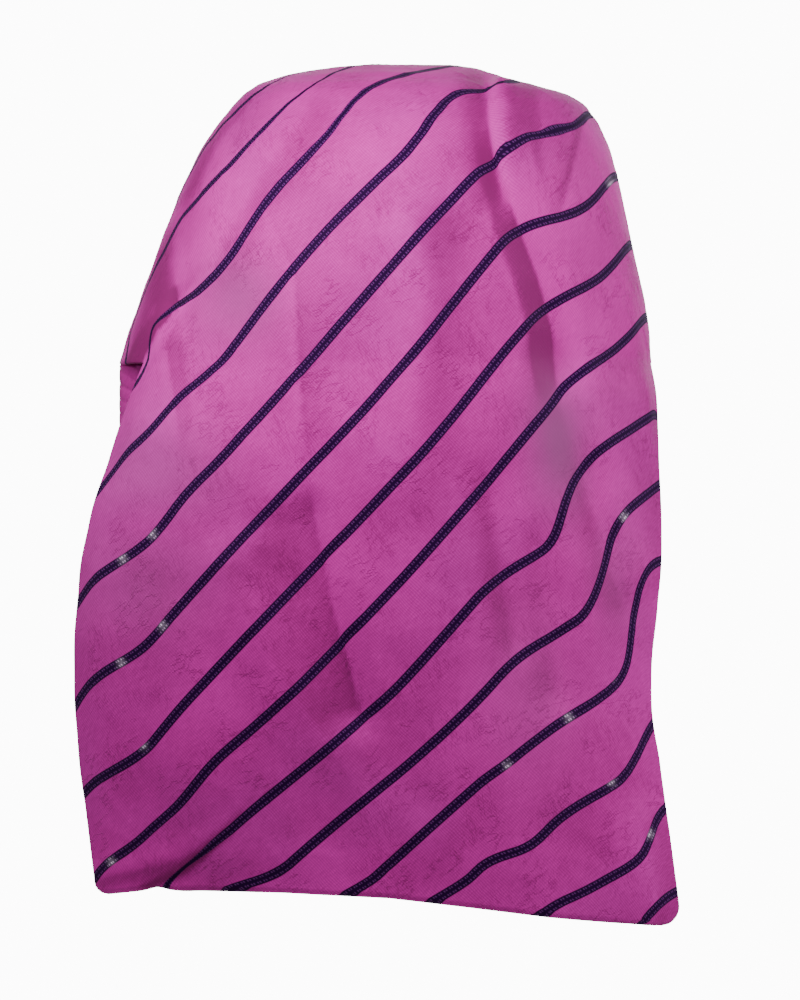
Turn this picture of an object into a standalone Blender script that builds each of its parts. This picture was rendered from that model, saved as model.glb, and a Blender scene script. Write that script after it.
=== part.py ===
"""A pre-tied bandana in the shape it takes on a head, seen from behind along +Y.

The bandana is one cloth that covers the crown and falls behind the neck, with rolled
edges, and two side wraps that run under the fall to a plain band at the nape.
The wearer looks along +Y, +X is the wearer's right and +Z is up. The origin is where
the top of the head touches the inside of the crown, so every drop below is a distance
down from there.
"""

import math
from collections import namedtuple

import bmesh
import bpy
import numpy as np

MM = 0.001

# Walls, rolls and gaps of the sewn cloth.
WALL = 1.6 * MM
ROLL_RADIUS = 3.0 * MM
ROLL_TURN = math.radians(200)
ROLL_STEPS = 5
SEWN_GAP = 0.45 * MM

# The crown's plan is a superellipse, and the fall hangs from the part of it at the back.
PLAN_POWER = 2.3
SPLIT_DROP = 111.5 * MM
SPLIT_LEFT = math.radians(63)
SPLIT_RIGHT = math.radians(78)
FOREHEAD_DROP = 66 * MM
FOREHEAD_FROM = math.radians(100)

# How finely the cloth is divided: the crown has rows on its sections and some between them.
CROWN_ROWS_BETWEEN = 4
FALL_ROWS = 25
FALL_ROWS_TO_HEM = 1.3
BACK_COLUMNS = 36
FRONT_COLUMNS = 24

# Each row is a level section of the crown: how far it reaches to each side, in mm.
CrownSection = namedtuple("CrownSection", "drop left right back front")
CROWN = (
    CrownSection(0.0, 0.0, 0.0, 0.0, 0.0),
    CrownSection(0.9, 18.0, 26.0, 20.0, 20.0),
    CrownSection(3.0, 33.0, 38.0, 36.0, 34.0),
    CrownSection(6.0, 45.5, 45.0, 49.0, 46.0),
    CrownSection(9.0, 52.0, 58.5, 59.0, 55.0),
    CrownSection(13.0, 57.0, 70.0, 67.0, 62.0),
    CrownSection(18.0, 61.5, 75.0, 75.0, 69.0),
    CrownSection(26.0, 68.0, 79.5, 84.0, 77.0),
    CrownSection(38.0, 75.0, 83.5, 92.0, 84.0),
    CrownSection(55.0, 82.3, 87.3, 99.0, 90.0),
    CrownSection(74.0, 89.3, 91.3, 104.0, 94.0),
    CrownSection(93.0, 95.5, 95.5, 107.0, 96.0),
    CrownSection(112.0, 102.0, 98.5, 109.0, 97.0),
)

# Each row is a level of the fall below the split: where its two edges and its middle hang, in mm.
FallSection = namedtuple("FallSection", "drop left left_y right right_y back")
FALL = (
    FallSection(130.0, 98.5, -62.0, 99.8, -44.0, 111.5),
    FallSection(151.0, 104.9, -67.0, 100.3, -51.0, 113.0),
    FallSection(176.0, 112.0, -70.0, 101.0, -57.0, 113.0),
    FallSection(202.0, 115.7, -70.0, 99.2, -60.0, 112.0),
    FallSection(230.0, 117.2, -69.0, 96.9, -62.0, 109.5),
    FallSection(258.0, 116.0, -68.0, 100.0, -62.0, 106.5),
    FallSection(285.0, 112.9, -66.0, 103.8, -61.0, 103.0),
    FallSection(316.0, 109.2, -64.0, 108.0, -60.0, 99.0),
)

# The hem sinks towards the wearer's right: its place across the fall and its drop, in mm.
HemPoint = namedtuple("HemPoint", "across drop")
HEM = (
    HemPoint(-110.0, 309.5),
    HemPoint(-88.0, 306.8),
    HemPoint(-40.0, 308.0),
    HemPoint(0.0, 310.0),
    HemPoint(30.0, 313.5),
    HemPoint(60.0, 317.2),
    HemPoint(98.0, 320.5),
)
HEM_CORNER_LEFT = 3.0 * MM
HEM_CORNER_RIGHT = 6.0 * MM

# Each row is one fold or crease: how deep it sinks at its upper and lower end, how wide it is
# to the left and right of its line, and that line as (across, drop) from the top down, in mm.
Fold = namedtuple("Fold", "name upper_depth lower_depth left_width right_width line")
FOLDS = (
    Fold("crown groove", 2.8, 2.2, 9.0, 6.0, ((31, 12), (33, 34), (38, 58))),
    Fold("main valley", 3.0, 9.5, 15.0, 11.0, ((40, 16), (45, 66), (55, 98), (62, 136), (80, 186), (94, 220))),
    Fold("side ridge", -2.0, -3.5, 9.0, 14.0, ((68, 118), (80, 152), (91, 190))),
    Fold("temple dent", 4.0, 5.5, 11.0, 9.0, ((-82, 78), (-84, 92))),
    Fold("temple pinch", 3.0, 4.0, 5.0, 4.0, ((-79, 92), (-87, 103), (-93, 111))),
    Fold("long soft ridge", -1.6, -1.6, 6.0, 16.0, ((-39, 80), (-37, 110), (-33, 140))),
    Fold("wedge ridge", -2.0, -3.0, 22.0, 9.0, ((-62, 186), (-48, 222), (-22, 250), (14, 288))),
    Fold("wedge valley", 2.0, 3.6, 13.0, 5.0, ((-28, 168), (-19, 205), (-11, 240))),
    Fold("hem tuck", -1.5, -3.5, 10.0, 4.0, ((-40, 275), (-62, 287), (-76, 296), (-98, 304))),
    Fold("middle dimple", 1.8, 1.8, 6.0, 6.0, ((38, 165), (45, 212))),
    Fold("low hollow", 2.4, 2.4, 20.0, 24.0, ((58, 232), (50, 286))),
    Fold("corner swell", -2.0, -3.5, 16.0, 12.0, ((94, 288), (99, 314))),
)
FOLD_FADE = 16 * MM
FOLD_CENTRE_DROP = 80 * MM

# The side wraps: from the temple to the nape they keep inside the crown's edge and the fall.
# Below the crown's edge the left wrap shows, and swells out level with the crown.
WrapStation = namedtuple("WrapStation", "turn inset swell upper lower")
WRAP = (
    WrapStation(116.0, 0.0, 0.0, 97.0, 112.0),
    WrapStation(104.0, 0.0, 1.5, 98.0, 130.0),
    WrapStation(90.0, 0.0, 2.0, 99.0, 148.0),
    WrapStation(76.0, 4.0, 2.0, 102.0, 160.0),
    WrapStation(60.0, 11.0, 0.0, 116.0, 171.0),
    WrapStation(42.0, 18.0, 0.0, 131.0, 180.0),
    WrapStation(24.0, 24.0, 0.0, 142.0, 186.0),
    WrapStation(12.0, 24.0, 0.0, 147.0, 188.0),
)
WRAP_COLUMNS = 22
WRAP_ROWS = 8
SWELL_FROM = 113.0 * MM
SWELL_WHOLE = 122.0 * MM

# The band that holds the two wraps together at the nape.
BAND_TURN = math.radians(22)
BAND_UPPER = 145 * MM
BAND_LOWER = 187 * MM
BAND_COLUMNS = 12
BAND_THICKNESS = 2.0 * MM
BAND_INSET = 24.0 * MM

CLOTH_COLOUR = (0.48, 0.07, 0.30, 1.0)
BAND_COLOUR = (0.20, 0.03, 0.16, 1.0)


def clear_scene():
    """Removes every object that the file opened with."""
    for old in list(bpy.data.objects):
        bpy.data.objects.remove(old)


def smooth_curve(knots, values, at):
    """A monotone cubic through (knots, values), read at one place or at many."""
    knots = np.asarray(knots, float)
    values = np.asarray(values, float)
    at = np.clip(np.asarray(at, float), knots[0], knots[-1])
    steps = np.diff(knots)
    slopes = np.diff(values) / steps
    tangents = np.empty_like(values)
    tangents[0] = slopes[0]
    tangents[-1] = slopes[-1]
    before, after = slopes[:-1], slopes[1:]
    same_way = before * after > 0
    both = np.where(same_way, before + after, 1.0)
    tangents[1:-1] = np.where(same_way, 2 * before * after / both, 0.0)
    place = np.clip(np.searchsorted(knots, at, side="right") - 1, 0, len(steps) - 1)
    share = (at - knots[place]) / steps[place]
    start = values[place] + share * steps[place] * tangents[place]
    end = values[place + 1] - (1 - share) * steps[place] * tangents[place + 1]
    ease = share * share * (3 - 2 * share)
    return start * (1 - ease) + end * ease


def ease_step(value):
    """0 below 0, 1 above 1, and a smooth rise between."""
    share = np.clip(value, 0.0, 1.0)
    return share * share * (3 - 2 * share)


def column_of(table, name):
    """One column of a table, in metres."""
    return np.array([getattr(row, name) for row in table]) * MM


def crown_run():
    """The length of cloth from the top of the crown down to each section."""
    drops = column_of(CROWN, "drop")
    backs = column_of(CROWN, "back")
    return np.concatenate([[0.0], np.cumsum(np.hypot(np.diff(drops), np.diff(backs)))])


def crown_at(run, name):
    """A column of the crown's table at a length of cloth below the top."""
    return smooth_curve(crown_run(), column_of(CROWN, name), run)


def run_at_drop(drop):
    """The length of cloth from the top of the crown down to a drop."""
    return np.interp(drop, column_of(CROWN, "drop"), crown_run())


def plan_part(turn, wave):
    """A superellipse's sine or cosine."""
    part = wave(turn)
    return math.copysign(abs(part) ** (2 / PLAN_POWER), part)


def crown_point(turn, run):
    """A point of the crown: turn is 0 at the back and runs to +180 degrees by the right."""
    side = crown_at(run, "right") if turn > 0 else crown_at(run, "left")
    reach = crown_at(run, "back") if abs(turn) < math.pi / 2 else crown_at(run, "front")
    across = side * plan_part(turn, math.sin)
    forward = -reach * plan_part(turn, math.cos)
    return np.array([across, forward, -crown_at(run, "drop")])


def crown_edge_drop(turn):
    """How low the crown's cloth reaches: level to the temples, then rising to the forehead."""
    towards_front = ease_step((abs(turn) - FOREHEAD_FROM) / (math.pi - FOREHEAD_FROM))
    return SPLIT_DROP + (FOREHEAD_DROP - SPLIT_DROP) * towards_front


def crown_shares():
    """Where the crown's rows lie, as shares of the cloth from the top to the crown's edge."""
    runs = crown_run()[1:]
    between = (runs[-CROWN_ROWS_BETWEEN - 1 : -1] + runs[-CROWN_ROWS_BETWEEN:]) / 2
    rows = np.sort(np.concatenate([runs[:-1], between]))
    return [*(rows / run_at_drop(SPLIT_DROP)), 1.0]


def fall_table():
    """The fall's sections, the first of which is the crown's own line at the split."""
    run = run_at_drop(SPLIT_DROP)
    left = crown_point(-SPLIT_LEFT, run)
    right = crown_point(SPLIT_RIGHT, run)
    first = FallSection(
        SPLIT_DROP / MM, -left[0] / MM, left[1] / MM, right[0] / MM, right[1] / MM, crown_at(run, "back") / MM
    )
    return (first, *FALL)


def bow(share, split):
    """How far the plan has bent forward at a share of the way from the middle to an edge."""
    widest = plan_part(split, math.sin)
    bent = 1 - (1 - (share * widest) ** PLAN_POWER) ** (1 / PLAN_POWER)
    whole = 1 - (1 - widest**PLAN_POWER) ** (1 / PLAN_POWER)
    return bent / whole


def fall_point(turn, share, table):
    """A point of the fall: turn as on the crown, share 0 at the split and 1 at the hem."""
    side, split = ("right", SPLIT_RIGHT) if turn > 0 else ("left", SPLIT_LEFT)
    drops = column_of(table, "drop")
    level = SPLIT_DROP + share * (drops[-1] - SPLIT_DROP)
    edge = smooth_curve(drops, column_of(table, side), level)
    edge_y = smooth_curve(drops, column_of(table, side + "_y"), level)
    back = smooth_curve(drops, column_of(table, "back"), level)
    radius = HEM_CORNER_RIGHT if turn > 0 else HEM_CORNER_LEFT
    rounded = max(0.0, level - (drops[-1] - radius)) / radius
    corner = edge - radius * (1 - math.sqrt(max(0.0, 1 - rounded**2)))
    along = plan_part(abs(turn), math.sin) / plan_part(split, math.sin)
    across = math.copysign(along * corner, turn)
    forward = -back + (edge_y + back) * bow(min(1.0, along * corner / edge), split)
    hem = np.interp(across, column_of(HEM, "across"), column_of(HEM, "drop"))
    return np.array([across, forward, -(SPLIT_DROP + share * (hem - SPLIT_DROP))])


def fold_depth(across, drop):
    """How far all the folds sink the cloth in at a place seen from behind."""
    here = np.array([across, drop])
    depth = 0.0
    for fold in FOLDS:
        line = np.array(fold.line, float) * MM
        starts, ends = line[:-1], line[1:]
        legs = ends - starts
        lengths = np.hypot(legs[:, 0], legs[:, 1])
        shares = np.clip(((here - starts) * legs).sum(1) / lengths**2, 0, 1)
        aside = here - (starts + shares[:, None] * legs)
        nearest = np.argmin((aside**2).sum(1))
        gone = (here - starts[nearest]) @ legs[nearest] / lengths[nearest]
        past = max(0.0, -gone if nearest == 0 else 0.0)
        if nearest == len(legs) - 1:
            past = max(past, gone - lengths[nearest])
        sign = legs[nearest][1] * aside[nearest][0] - legs[nearest][0] * aside[nearest][1]
        width = (fold.right_width if sign > 0 else fold.left_width) * MM
        reach = math.sqrt(max(0.0, aside[nearest] @ aside[nearest] - past**2)) / width
        along = (lengths[:nearest].sum() + shares[nearest] * lengths[nearest]) / lengths.sum()
        deep = fold.upper_depth + (fold.lower_depth - fold.upper_depth) * along
        depth += deep * MM * (1 - ease_step(past / FOLD_FADE)) * math.exp(-(reach**2) * 1.6)
    return depth


def folded(point):
    """A point of the back of the cloth moved by the folds: down on top, forward further down."""
    across, forward, up = point
    inwards = np.array([0.0, -forward, min(0.0, -FOLD_CENTRE_DROP - up)])
    inwards /= max(np.linalg.norm(inwards), 1e-9)
    at_back = ease_step((-forward - 8 * MM) / (30 * MM))
    return point + inwards * fold_depth(across, -up) * at_back


def columns():
    """Turns of the columns: the back ones, edge to edge, then the front ones that close the loop."""
    left = -SPLIT_LEFT * np.linspace(1, 0, BACK_COLUMNS // 2 + 1)
    right = SPLIT_RIGHT * np.linspace(0, 1, BACK_COLUMNS // 2 + 1)[1:]
    front = np.linspace(SPLIT_RIGHT, 2 * math.pi - SPLIT_LEFT, FRONT_COLUMNS + 2)[1:-1]
    front = np.where(front > math.pi, front - 2 * math.pi, front)
    return np.concatenate([left, right]), front


def bandana_sheet():
    """The crown and the fall as one open surface, with the fall's edges rolled under."""
    mesh = bmesh.new()
    back, front = columns()
    turns = np.concatenate([back, front])
    top = mesh.verts.new((0.0, 0.0, 0.0))
    rings = []
    for share in crown_shares():
        ring = []
        for turn in turns:
            point = crown_point(turn, share * run_at_drop(crown_edge_drop(turn)))
            ring.append(mesh.verts.new(folded(point)))
        rings.append(ring)
    count = len(turns)
    for place in range(count):
        after = (place + 1) % count
        mesh.faces.new((top, rings[0][place], rings[0][after]))
        for upper, lower in zip(rings, rings[1:]):
            mesh.faces.new((upper[place], lower[place], lower[after], upper[after]))
    table = fall_table()
    hanging = [rings[-1][: len(back)]]
    for row in range(1, FALL_ROWS + 1):
        share = 1 - (1 - row / FALL_ROWS) ** FALL_ROWS_TO_HEM
        level = [mesh.verts.new(folded(fall_point(turn, share, table))) for turn in back]
        hanging.append(level)
    for upper, lower in zip(hanging, hanging[1:]):
        for place in range(len(back) - 1):
            mesh.faces.new((upper[place], lower[place], lower[place + 1], upper[place + 1]))
    roll_edges(mesh, hanging)
    mesh.normal_update()
    return mesh


def roll_edges(mesh, hanging):
    """Turns the fall's sides and hem under, in a soft roll that starts from nothing at the split."""
    mesh.normal_update()
    left = [row[0] for row in hanging]
    right = [row[-1] for row in hanging]
    border = left[1:-1] + hanging[-1] + right[-2:0:-1]
    inner = [row[1] for row in hanging][1:-1]
    inner += [hanging[-2][1], *hanging[-2][1:-1], hanging[-2][-2]]
    inner += [row[-2] for row in hanging][-2:0:-1]
    strip = [[left[0]] * (ROLL_STEPS + 1)]
    for place, vertex in enumerate(border):
        before = border[max(place - 1, 0)].co
        after = border[min(place + 1, len(border) - 1)].co
        along = (after - before).normalized()
        normal = vertex.normal.normalized()
        outwards = along.cross(normal).normalized()
        if outwards.dot(vertex.co - inner[place].co) < 0:
            outwards.negate()
        from_split = min(place + 1, len(border) - place)
        radius = ROLL_RADIUS * float(ease_step(from_split / 4))
        turned = [vertex]
        for step in range(1, ROLL_STEPS + 1):
            angle = ROLL_TURN * step / ROLL_STEPS
            shift = outwards * math.sin(angle) - normal * (1 - math.cos(angle))
            turned.append(mesh.verts.new(vertex.co + shift * radius))
        strip.append(turned)
    strip.append([right[0]] * (ROLL_STEPS + 1))
    for first, second in zip(strip, strip[1:]):
        for step in range(ROLL_STEPS):
            corners = (first[step], second[step], second[step + 1], first[step + 1])
            distinct = list(dict.fromkeys(reversed(corners)))
            mesh.faces.new(distinct)


def wrap_point(side, station_share, width_share):
    """A point of a side wrap's outer face, which keeps just inside the crown's edge."""
    stations = np.linspace(0, 1, len(WRAP))
    turn = side * math.radians(smooth_curve(stations, [s.turn for s in WRAP], station_share))
    columns = (column_of(WRAP, name) for name in ("upper", "lower", "inset", "swell"))
    upper, lower, inset, swell = (float(smooth_curve(stations, values, station_share)) for values in columns)
    drop = upper + (lower - upper) * width_share
    point = crown_point(turn, run_at_drop(min(drop, SPLIT_DROP)))
    shows = float(ease_step((drop - SWELL_FROM) / (SWELL_WHOLE - SWELL_FROM))) if side < 0 else 0.0
    inside = WALL + SEWN_GAP + inset - swell * shows
    inwards = np.array([point[0], point[1], 0.0])
    inwards /= -np.linalg.norm(inwards)
    return np.array([*(point + inwards * inside)[:2], -drop])


def wrap_sheet(side):
    """One side wrap as an open surface, from the temple to the nape."""
    grid = [
        [wrap_point(side, column / WRAP_COLUMNS, row / WRAP_ROWS) for row in range(WRAP_ROWS + 1)]
        for column in range(WRAP_COLUMNS + 1)
    ]
    return grid_mesh(grid, facing_out=side > 0)


def band_sheet():
    """The nape band as an open surface that lies on the outside of both wraps' ends."""
    grid = []
    for column in range(BAND_COLUMNS + 1):
        turn = BAND_TURN * (2 * column / BAND_COLUMNS - 1)
        point = crown_point(turn, run_at_drop(SPLIT_DROP))
        outwards = np.array([point[0], point[1], 0.0]) / np.linalg.norm(point[:2])
        inside = WALL + BAND_INSET - SEWN_GAP - BAND_THICKNESS
        face = point - outwards * inside
        grid.append([np.array([face[0], face[1], -drop]) for drop in np.linspace(BAND_UPPER, BAND_LOWER, 5)])
    return grid_mesh(grid, facing_out=False)


def grid_mesh(grid, facing_out):
    """A mesh of four-sided faces over rows of points, turned to face away from the head."""
    mesh = bmesh.new()
    verts = [[mesh.verts.new(point) for point in line] for line in grid]
    for first, second in zip(verts, verts[1:]):
        for place in range(len(first) - 1):
            corners = (first[place], second[place], second[place + 1], first[place + 1])
            mesh.faces.new(corners if facing_out else corners[::-1])
    return mesh


def cloth_material(name, colour, roughness):
    """A plain finish for one kind of cloth."""
    material = bpy.data.materials.new(name)
    material.use_nodes = True
    shader = material.node_tree.nodes["Principled BSDF"]
    shader.inputs["Base Color"].default_value = colour
    shader.inputs["Roughness"].default_value = roughness
    shader.inputs["Metallic"].default_value = 0.0
    return material


def add_cloth(name, sheet, thickness, material, parent):
    """Makes a sheet an object with a wall, whose thickness goes to the inside."""
    data = bpy.data.meshes.new(name)
    sheet.to_mesh(data)
    sheet.free()
    data.shade_smooth()
    data.materials.append(material)
    cloth = bpy.data.objects.new(name, data)
    bpy.context.scene.collection.objects.link(cloth)
    cloth.parent = parent
    wall = cloth.modifiers.new("wall", "SOLIDIFY")
    wall.thickness = thickness
    wall.offset = -1.0
    return cloth


def main():
    """Builds the bandana."""
    clear_scene()
    head_seat = bpy.data.objects.new("head_seat", None)
    bpy.context.scene.collection.objects.link(head_seat)
    striped_cloth = cloth_material("striped_cloth", CLOTH_COLOUR, 0.42)
    band_cloth = cloth_material("band_cloth", BAND_COLOUR, 0.7)
    add_cloth("bandana_cloth", bandana_sheet(), WALL, striped_cloth, head_seat)
    add_cloth("left_wrap", wrap_sheet(-1), WALL, striped_cloth, head_seat)
    add_cloth("right_wrap", wrap_sheet(1), WALL, striped_cloth, head_seat)
    add_cloth("nape_band", band_sheet(), BAND_THICKNESS, band_cloth, head_seat)


main()
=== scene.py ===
"""A pre-tied bandana in the form it takes when worn, seen from behind.

The cloth covers the crown and falls behind the neck. Its stripes are woven in on the
bias. Two side wraps run under the fall to an elastic band at the nape. The wearer looks
along +Y, +X is the wearer's right, and the origin is where the top of the head touches
the inside of the crown, so a drop is a distance down from there. Lengths are in metres,
and the tables are in millimetres.
"""

import logging
import math
from collections.abc import Sequence
from dataclasses import dataclass, field
from enum import Enum
from typing import Any, NamedTuple

import bpy
import numpy as np
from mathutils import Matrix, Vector, kdtree, noise

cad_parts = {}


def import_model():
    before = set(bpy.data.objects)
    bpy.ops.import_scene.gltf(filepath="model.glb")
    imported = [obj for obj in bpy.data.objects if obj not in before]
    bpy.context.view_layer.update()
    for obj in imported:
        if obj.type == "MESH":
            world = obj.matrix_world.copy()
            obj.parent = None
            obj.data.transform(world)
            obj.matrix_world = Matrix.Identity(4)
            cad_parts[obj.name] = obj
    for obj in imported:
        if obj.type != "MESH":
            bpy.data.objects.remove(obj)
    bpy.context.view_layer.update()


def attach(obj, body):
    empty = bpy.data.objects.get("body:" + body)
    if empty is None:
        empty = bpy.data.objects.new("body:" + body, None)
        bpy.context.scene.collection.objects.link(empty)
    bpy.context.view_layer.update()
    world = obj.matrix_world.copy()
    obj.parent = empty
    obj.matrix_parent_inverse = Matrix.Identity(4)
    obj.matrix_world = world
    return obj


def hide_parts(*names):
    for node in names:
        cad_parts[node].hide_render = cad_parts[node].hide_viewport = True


log = logging.getLogger("bandana")

MM = 0.001
Colour = tuple[float, float, float, float]
Source = Any


class Side(Enum):
    """The wearer's left or right, as the sign of X."""

    LEFT = -1
    RIGHT = 1


class FoldShape(Enum):
    """How a fold's depth falls off to its sides."""

    SOFT = "soft"
    CREASED = "creased"
    FLAT = "flat"

    def fall_off(self, away: np.ndarray) -> np.ndarray:
        """The share of the depth left at a distance given in widths."""
        soft_rate, crease_rate, flat_power = 1.6, 1.9, 1.2
        if self is FoldShape.SOFT:
            return np.exp(-(away**2) * soft_rate)
        if self is FoldShape.CREASED:
            return np.exp(-away * crease_rate)
        return np.maximum(0.0, 1 - away) ** flat_power


class CrownSection(NamedTuple):
    """A level section of the crown: its drop and its reach each way."""

    drop: float
    left: float
    right: float
    back: float
    front: float


class FallSection(NamedTuple):
    """A level of the fall: where its two edges and its middle hang."""

    drop: float
    left: float
    left_y: float
    right: float
    right_y: float
    back: float


class HemPoint(NamedTuple):
    """A place along the hem and its drop."""

    across: float
    drop: float


class Fold(NamedTuple):
    """A fold of the cloth: its depth at its upper and lower end, its width to each side of
    its line, and that line as (across, drop) from the top down."""

    name: str
    shape: FoldShape
    upper_depth: float
    lower_depth: float
    left_width: float
    right_width: float
    line: tuple[tuple[float, float], ...]


class Pull(NamedTuple):
    """A place where the cloth has been pulled askew: where that starts, which way it goes on in
    degrees (0 right, 90 down), over what reach it grows, how far it spreads aside, and how far
    the stripes are moved up."""

    name: str
    across: float
    drop: float
    heading: float
    reach: float
    half_width: float
    rise: float


class WrapStation(NamedTuple):
    """A place along a side wrap: its turn round the head in degrees, how far it lies inside
    the crown, how far it swells out below the crown's edge, and its two edges' drops."""

    turn: float
    inset: float
    swell: float
    upper: float
    lower: float


class Nip(NamedTuple):
    """A place where a stripe narrows into a crease: how far round it, and how wide it is left."""

    name: str
    across: float
    drop: float
    radius: float
    width: float


class Faded(NamedTuple):
    """A place where greyish shade is painted into the cloth: where it is, its reach each way, and how
    strong the painted shade is.
    """

    name: str
    across: float
    drop: float
    wide: float
    high: float
    share: float


class Glint(NamedTuple):
    """A place on a stripe where a pale thread joins."""

    across: float
    drop: float


CROWN = (
    CrownSection(0.0, 0.0, 0.0, 0.0, 0.0),
    CrownSection(0.9, 18.0, 26.0, 20.0, 20.0),
    CrownSection(3.0, 33.0, 38.0, 36.0, 34.0),
    CrownSection(6.0, 45.5, 45.0, 49.0, 46.0),
    CrownSection(9.0, 52.0, 58.5, 59.0, 55.0),
    CrownSection(13.0, 57.0, 70.0, 67.0, 62.0),
    CrownSection(18.0, 61.5, 75.0, 75.0, 69.0),
    CrownSection(26.0, 68.0, 79.5, 84.0, 77.0),
    CrownSection(38.0, 75.0, 83.5, 92.0, 84.0),
    CrownSection(55.0, 82.3, 87.3, 99.0, 90.0),
    CrownSection(74.0, 89.3, 91.3, 104.0, 94.0),
    CrownSection(93.0, 95.5, 95.5, 107.0, 96.0),
    CrownSection(112.0, 102.0, 98.5, 109.0, 97.0),
)

FALL = (
    FallSection(130.0, 98.9, -62.0, 100.3, -44.0, 111.5),
    FallSection(151.0, 105.4, -67.0, 100.8, -54.0, 113.0),
    FallSection(176.0, 112.6, -70.0, 101.5, -62.0, 113.0),
    FallSection(202.0, 116.3, -70.0, 99.8, -67.0, 112.0),
    FallSection(230.0, 117.8, -69.0, 97.5, -70.0, 109.5),
    FallSection(258.0, 116.6, -68.0, 100.6, -71.0, 106.5),
    FallSection(285.0, 113.5, -66.0, 104.4, -70.0, 103.0),
    FallSection(316.0, 109.8, -64.0, 108.6, -68.0, 99.0),
)

HEM = (
    HemPoint(-110.0, 309.9),
    HemPoint(-88.0, 307.3),
    HemPoint(-40.0, 308.5),
    HemPoint(0.0, 310.5),
    HemPoint(30.0, 314.0),
    HemPoint(60.0, 317.7),
    HemPoint(98.0, 321.0),
)

SOFT, CREASED, FLAT = FoldShape.SOFT, FoldShape.CREASED, FoldShape.FLAT
FOLDS = (
    Fold("crown groove", SOFT, 2.2, 2.8, 9.0, 5.0, ((36, 12), (38, 30), (40, 46))),
    Fold("top facet", FLAT, -2.4, -3.0, 5.5, 13.0, ((42, 12), (42, 22), (43, 34))),
    Fold("upper valley", FLAT, 3.4, 5.2, 9.0, 12.0, ((42, 40), (47, 60), (55, 80), (60, 98), (62, 114))),
    Fold("lower valley", SOFT, 3.4, 1.6, 9.0, 14.0, ((61, 112), (69, 144), (79, 172), (88, 200))),
    Fold("side ridge", SOFT, -1.6, -2.6, 9.0, 14.0, ((70, 118), (82, 152), (93, 190))),
    Fold("wing crease", CREASED, 0.8, 0.8, 3.0, 6.0, ((71, 26), (65, 48))),
    Fold("left crown hollow", SOFT, 1.8, 3.0, 9.0, 9.0, ((-50, 14), (-62, 28), (-71, 46))),
    Fold("left crown ridge", SOFT, -1.5, -2.4, 10.0, 12.0, ((-34, 21), (-47, 38), (-58, 57), (-67, 74))),
    Fold("temple dent", SOFT, 3.0, 4.5, 10.0, 3.5, ((-80, 74), (-79, 88))),
    Fold("temple pinch", FLAT, 3.0, 4.0, 5.0, 3.5, ((-77, 88), (-84, 98), (-92, 110))),
    Fold("temple lobe", SOFT, -1.0, -2.2, 6.0, 5.0, ((-95, 99), (-98, 109))),
    Fold("temple ray", FLAT, -1.6, -0.8, 3.0, 7.0, ((-84, 104), (-82, 118), (-80, 132))),
    Fold("long soft ridge", CREASED, -1.4, -1.4, 4.0, 16.0, ((-41, 68), (-36, 80), (-35, 104), (-33, 134))),
    Fold(
        "wedge ridge", FLAT, -2.8, -1.2, 20.0, 30.0,
        ((-62, 190), (-49, 216), (-26, 250), (-7, 276), (15, 290)),
    ),
    Fold("wedge valley", FLAT, 3.2, 4.4, 27.0, 8.0, ((-27, 172), (-20, 206), (-11, 240))),
    Fold("inner fold", SOFT, -3.6, -1.2, 12.0, 16.0, ((9, 60), (12, 84), (10, 118), (4, 160))),
    Fold("hem slit", SOFT, 1.0, 1.6, 3.0, 5.0, ((-58, 286), (-66, 294), (-76, 303), (-86, 308))),
    Fold("hem ridge", SOFT, -0.8, -1.0, 6.0, 4.0, ((-62, 287), (-75, 296), (-90, 300), (-106, 304))),
    Fold("middle dimple", SOFT, 1.4, 1.8, 8.0, 10.0, ((38, 160), (42, 190), (46, 214))),
    Fold("low dimple", SOFT, 1.8, 2.4, 12.0, 9.0, ((56, 182), (60, 212), (64, 234))),
    Fold("corner swell", SOFT, -1.6, -2.6, 16.0, 12.0, ((94, 288), (99, 314))),
)

WRAP = (
    WrapStation(116.0, 0.0, 0.0, 97.0, 112.0),
    WrapStation(104.0, 0.0, 1.5, 98.0, 130.0),
    WrapStation(90.0, 0.0, 2.0, 99.0, 148.0),
    WrapStation(76.0, 4.0, 2.0, 102.0, 160.0),
    WrapStation(60.0, 11.0, 0.0, 116.0, 171.0),
    WrapStation(42.0, 18.0, 0.0, 131.0, 180.0),
    WrapStation(24.0, 24.0, 0.0, 142.0, 186.0),
    WrapStation(12.0, 24.0, 0.0, 147.0, 188.0),
)

PULLS = (
    Pull("upper back", -14.0, 140.0, 280.0, 80.0, 42.0, 3.4),
    Pull("wearer's right", 58.0, 115.0, -20.0, 62.0, 75.0, -29.0),
    Pull("left of the valley", 44.0, 248.0, -15.0, 50.0, 58.0, -12.5),
    Pull("over the valley", 66.0, 203.0, -25.0, 38.0, 14.0, 16.5),
    Pull("towards the hem", -14.0, 228.0, 90.0, 83.0, 46.0, 10.5),
    Pull("left of the hem", -68.0, 300.0, 180.0, 22.0, 12.0, 4.5),
    Pull("left corner", -52.0, 290.0, 120.0, 30.0, 12.0, 10.0),
    Pull("left edge", -86.0, 200.0, 180.0, 34.0, 120.0, 12.0),
    Pull("under the temple", -60.0, 146.0, 200.0, 30.0, 10.0, 5.0),
    Pull("left temple", -51.0, 50.0, 195.0, 60.0, 54.0, 60.0),
    Pull("top", 5.0, 36.0, 270.0, 40.0, 15.0, 13.0),
    Pull("top right", 45.0, 20.0, -70.0, 30.0, 20.0, -20.0),
    Pull("right corner", 90.0, 270.0, 10.0, 30.0, 60.0, 3.0),
    Pull("right edge", 84.0, 240.0, 0.0, 20.0, 40.0, 8.5),
    Pull("at the hem", -5.0, 303.0, 90.0, 16.0, 62.0, 6.0),
)

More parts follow.
